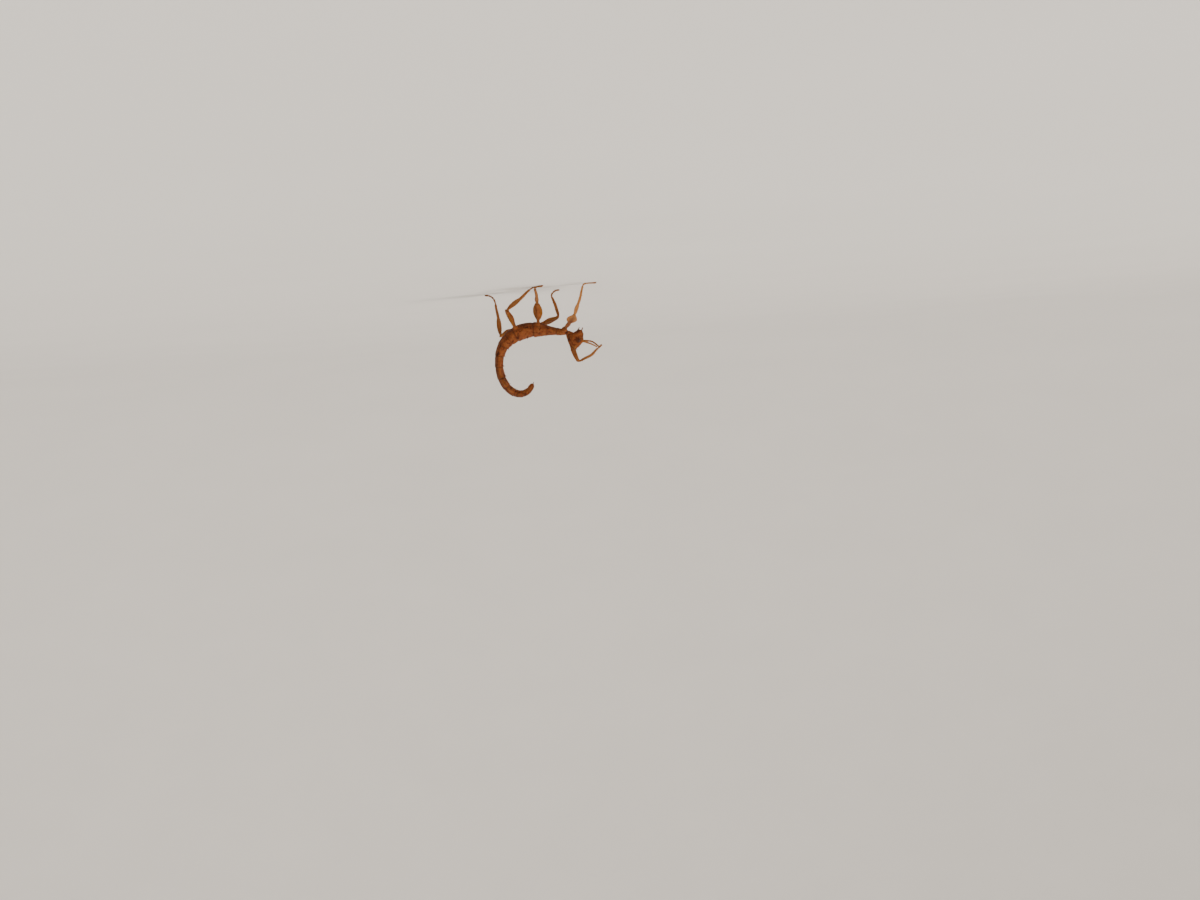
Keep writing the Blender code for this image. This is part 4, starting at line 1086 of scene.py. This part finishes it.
eye_material, tree, shader = new_material(
    "eye_facets", Coat_Weight=0.5, Coat_Roughness=0.05, Specular_IOR_Level=0.05
)
place = object_place(tree)
wave = {"Vector": place, "Scale": 1.5 / MM, "Distortion": 4.0, "Detail": 3.0}
stripes = ramp(tree, add_node(tree, "ShaderNodeTexWave", wave, bands_direction="Z").outputs["Fac"], 0.1, 0.9)
colour = blend_colour(tree, stripes, (0.075, 0.022, 0.006, 1), (0.036, 0.01, 0.003, 1))
facets = add_node(tree, "ShaderNodeTexVoronoi", {"Vector": place, "Scale": 22 / MM}).outputs["Distance"]
finish_material(tree, shader, colour, facets, (0.35, 0.5), bump=(facets, 0.35, 0.012), invert=True)


def eye_dome(side):
    """A flattened ball: rings of latitude about the eye's outward axis, a little narrower crosswise."""
    axis = EYE_OUT * [side, 1, 1]
    right = unit(np.cross(axis, [0, 0, 1.0]))
    top = np.cross(right, axis)
    lat = np.linspace(0.03, np.pi - 0.03, 40)[:, None]
    theta = around(48)[:, None]
    reach = np.cos(lat) * np.where(np.cos(lat) > 0, EYE_PROUD, EYE_SUNK)
    wide = np.sin(lat) * EYE_RADIUS
    ring = 0.9 * np.cos(theta) * right - np.sin(theta) * top
    centre = EYE_PLACE * [side, 1, 1] - 0.02 * axis
    return tube(centre + reach[..., None] * axis + wide[..., None] * ring)


for hand, side in (("left", 1), ("right", -1)):
    piece = make_piece(f"compound_eye_{hand}", eye_dome(side), eye_material)
    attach(piece, "root")
    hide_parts(f"eye_{hand}")

# ---- floor, light and camera ----
# A pale round floor that sweeps up into a wall all the way round, big soft lights above it, and a camera
# level with the insect on its left side, rolled so that the insect hangs head right and back down.

FLOOR_REACH, FLOOR_TURN = 650, 1200  # flat so far out, then a round turn up of this radius
LIT_MIDDLE = np.array([0, 0, 14.0])
CAMERA_PLACE, CAMERA_AIM = np.array([524.0, 1.0, 29.7]), np.array([0.0, -16.5, 52.0])
ROLL = math.atan(0.0765)

floor_material, tree, shader = new_material("pale_floor", Roughness=0.85, Specular_IOR_Level=0.0)
dust = add_node(tree, "ShaderNodeTexNoise", {"Scale": 12.0, "Vector": object_place(tree)}).outputs["Fac"]
colour = blend_colour(tree, dust, (0.72, 0.69, 0.65, 1), (0.76, 0.73, 0.69, 1))
tree.links.new(colour, shader.inputs["Base Color"])
out_to = np.linspace(0, 1, 60)
turn_up = np.linspace(0, np.pi / 2, 30)[1:]
straight_up = [FLOOR_REACH + FLOOR_TURN]
reach = np.concatenate([FLOOR_REACH * out_to**1.5, FLOOR_REACH + FLOOR_TURN * np.sin(turn_up), straight_up])
rise = np.concatenate([0 * out_to, FLOOR_TURN - FLOOR_TURN * np.cos(turn_up), [2 * FLOOR_TURN]])
reach, rise, theta = reach[1:, None], rise[1:, None], around(96)
bowl = np.stack([reach * np.cos(theta), reach * np.sin(theta), rise + 0 * theta], -1) * MM
n, m = bowl.shape[:2]
hub = [[j, (j + 1) % m, n * m] for j in range(m)]
floor_mesh = bpy.data.meshes.new("floor")
floor_mesh.from_pydata(np.vstack([bowl.reshape(-1, 3), [[0, 0, 0]]]).tolist(), [], wall(n, m) + hub)
floor_mesh.shade_smooth()
floor_mesh.materials.append(floor_material)
floor = new_object("floor", floor_mesh)

world = bpy.data.worlds.new("studio")
bpy.context.scene.world = world
world.use_nodes = True
world.node_tree.nodes["Background"].inputs["Color"].default_value = (1.0, 0.97, 0.93, 1)
world.node_tree.nodes["Background"].inputs["Strength"].default_value = 0.42


def placed(place, right, up, back):
    """The matrix that puts a lamp or camera at a place in millimetres, turned to three directions."""
    rows = np.column_stack([right, up, back, np.array(place) * MM])
    return Matrix([*rows.tolist(), [0, 0, 0, 1]])


def soft_light(name, place, size, power, tint):
    """A square lamp that faces the insect's middle."""
    lamp = bpy.data.lights.new(name, "AREA")
    lamp.size, lamp.energy, lamp.color = size * MM, power, tint
    back_to = unit(np.array(place) - LIT_MIDDLE)
    look = unit(np.cross([0, 0, 1.0], back_to))
    new_object(name, lamp).matrix_world = placed(place, look, np.cross(back_to, look), back_to)


soft_light("key", (900, -900, 1150), 600, 21, (1.0, 0.95, 0.88))
soft_light("fill", (1150, 800, 650), 900, 6, (0.93, 0.96, 1.0))
soft_light("rim", (-1000, 250, 1900), 900, 18, (1.0, 0.97, 0.92))

forward, sky = np.array([0, -1.0, 0]), np.array([0, 0, 1.0])
camera_place = CAMERA_PLACE + SHIFT
back_axis = unit(camera_place - (CAMERA_AIM + SHIFT))
up_axis = forward * math.sin(ROLL) - sky * math.cos(ROLL)
up_axis = unit(up_axis - (up_axis @ back_axis) * back_axis)
right_axis = np.cross(up_axis, back_axis)
lens = bpy.data.cameras.new("camera")
lens.lens, lens.sensor_width = 50.0, 36.0
lens.clip_start, lens.clip_end = 0.005, 10.0
camera = new_object("camera", lens)
camera.matrix_world = placed(camera_place, right_axis, up_axis, back_axis)
bpy.context.scene.camera = camera
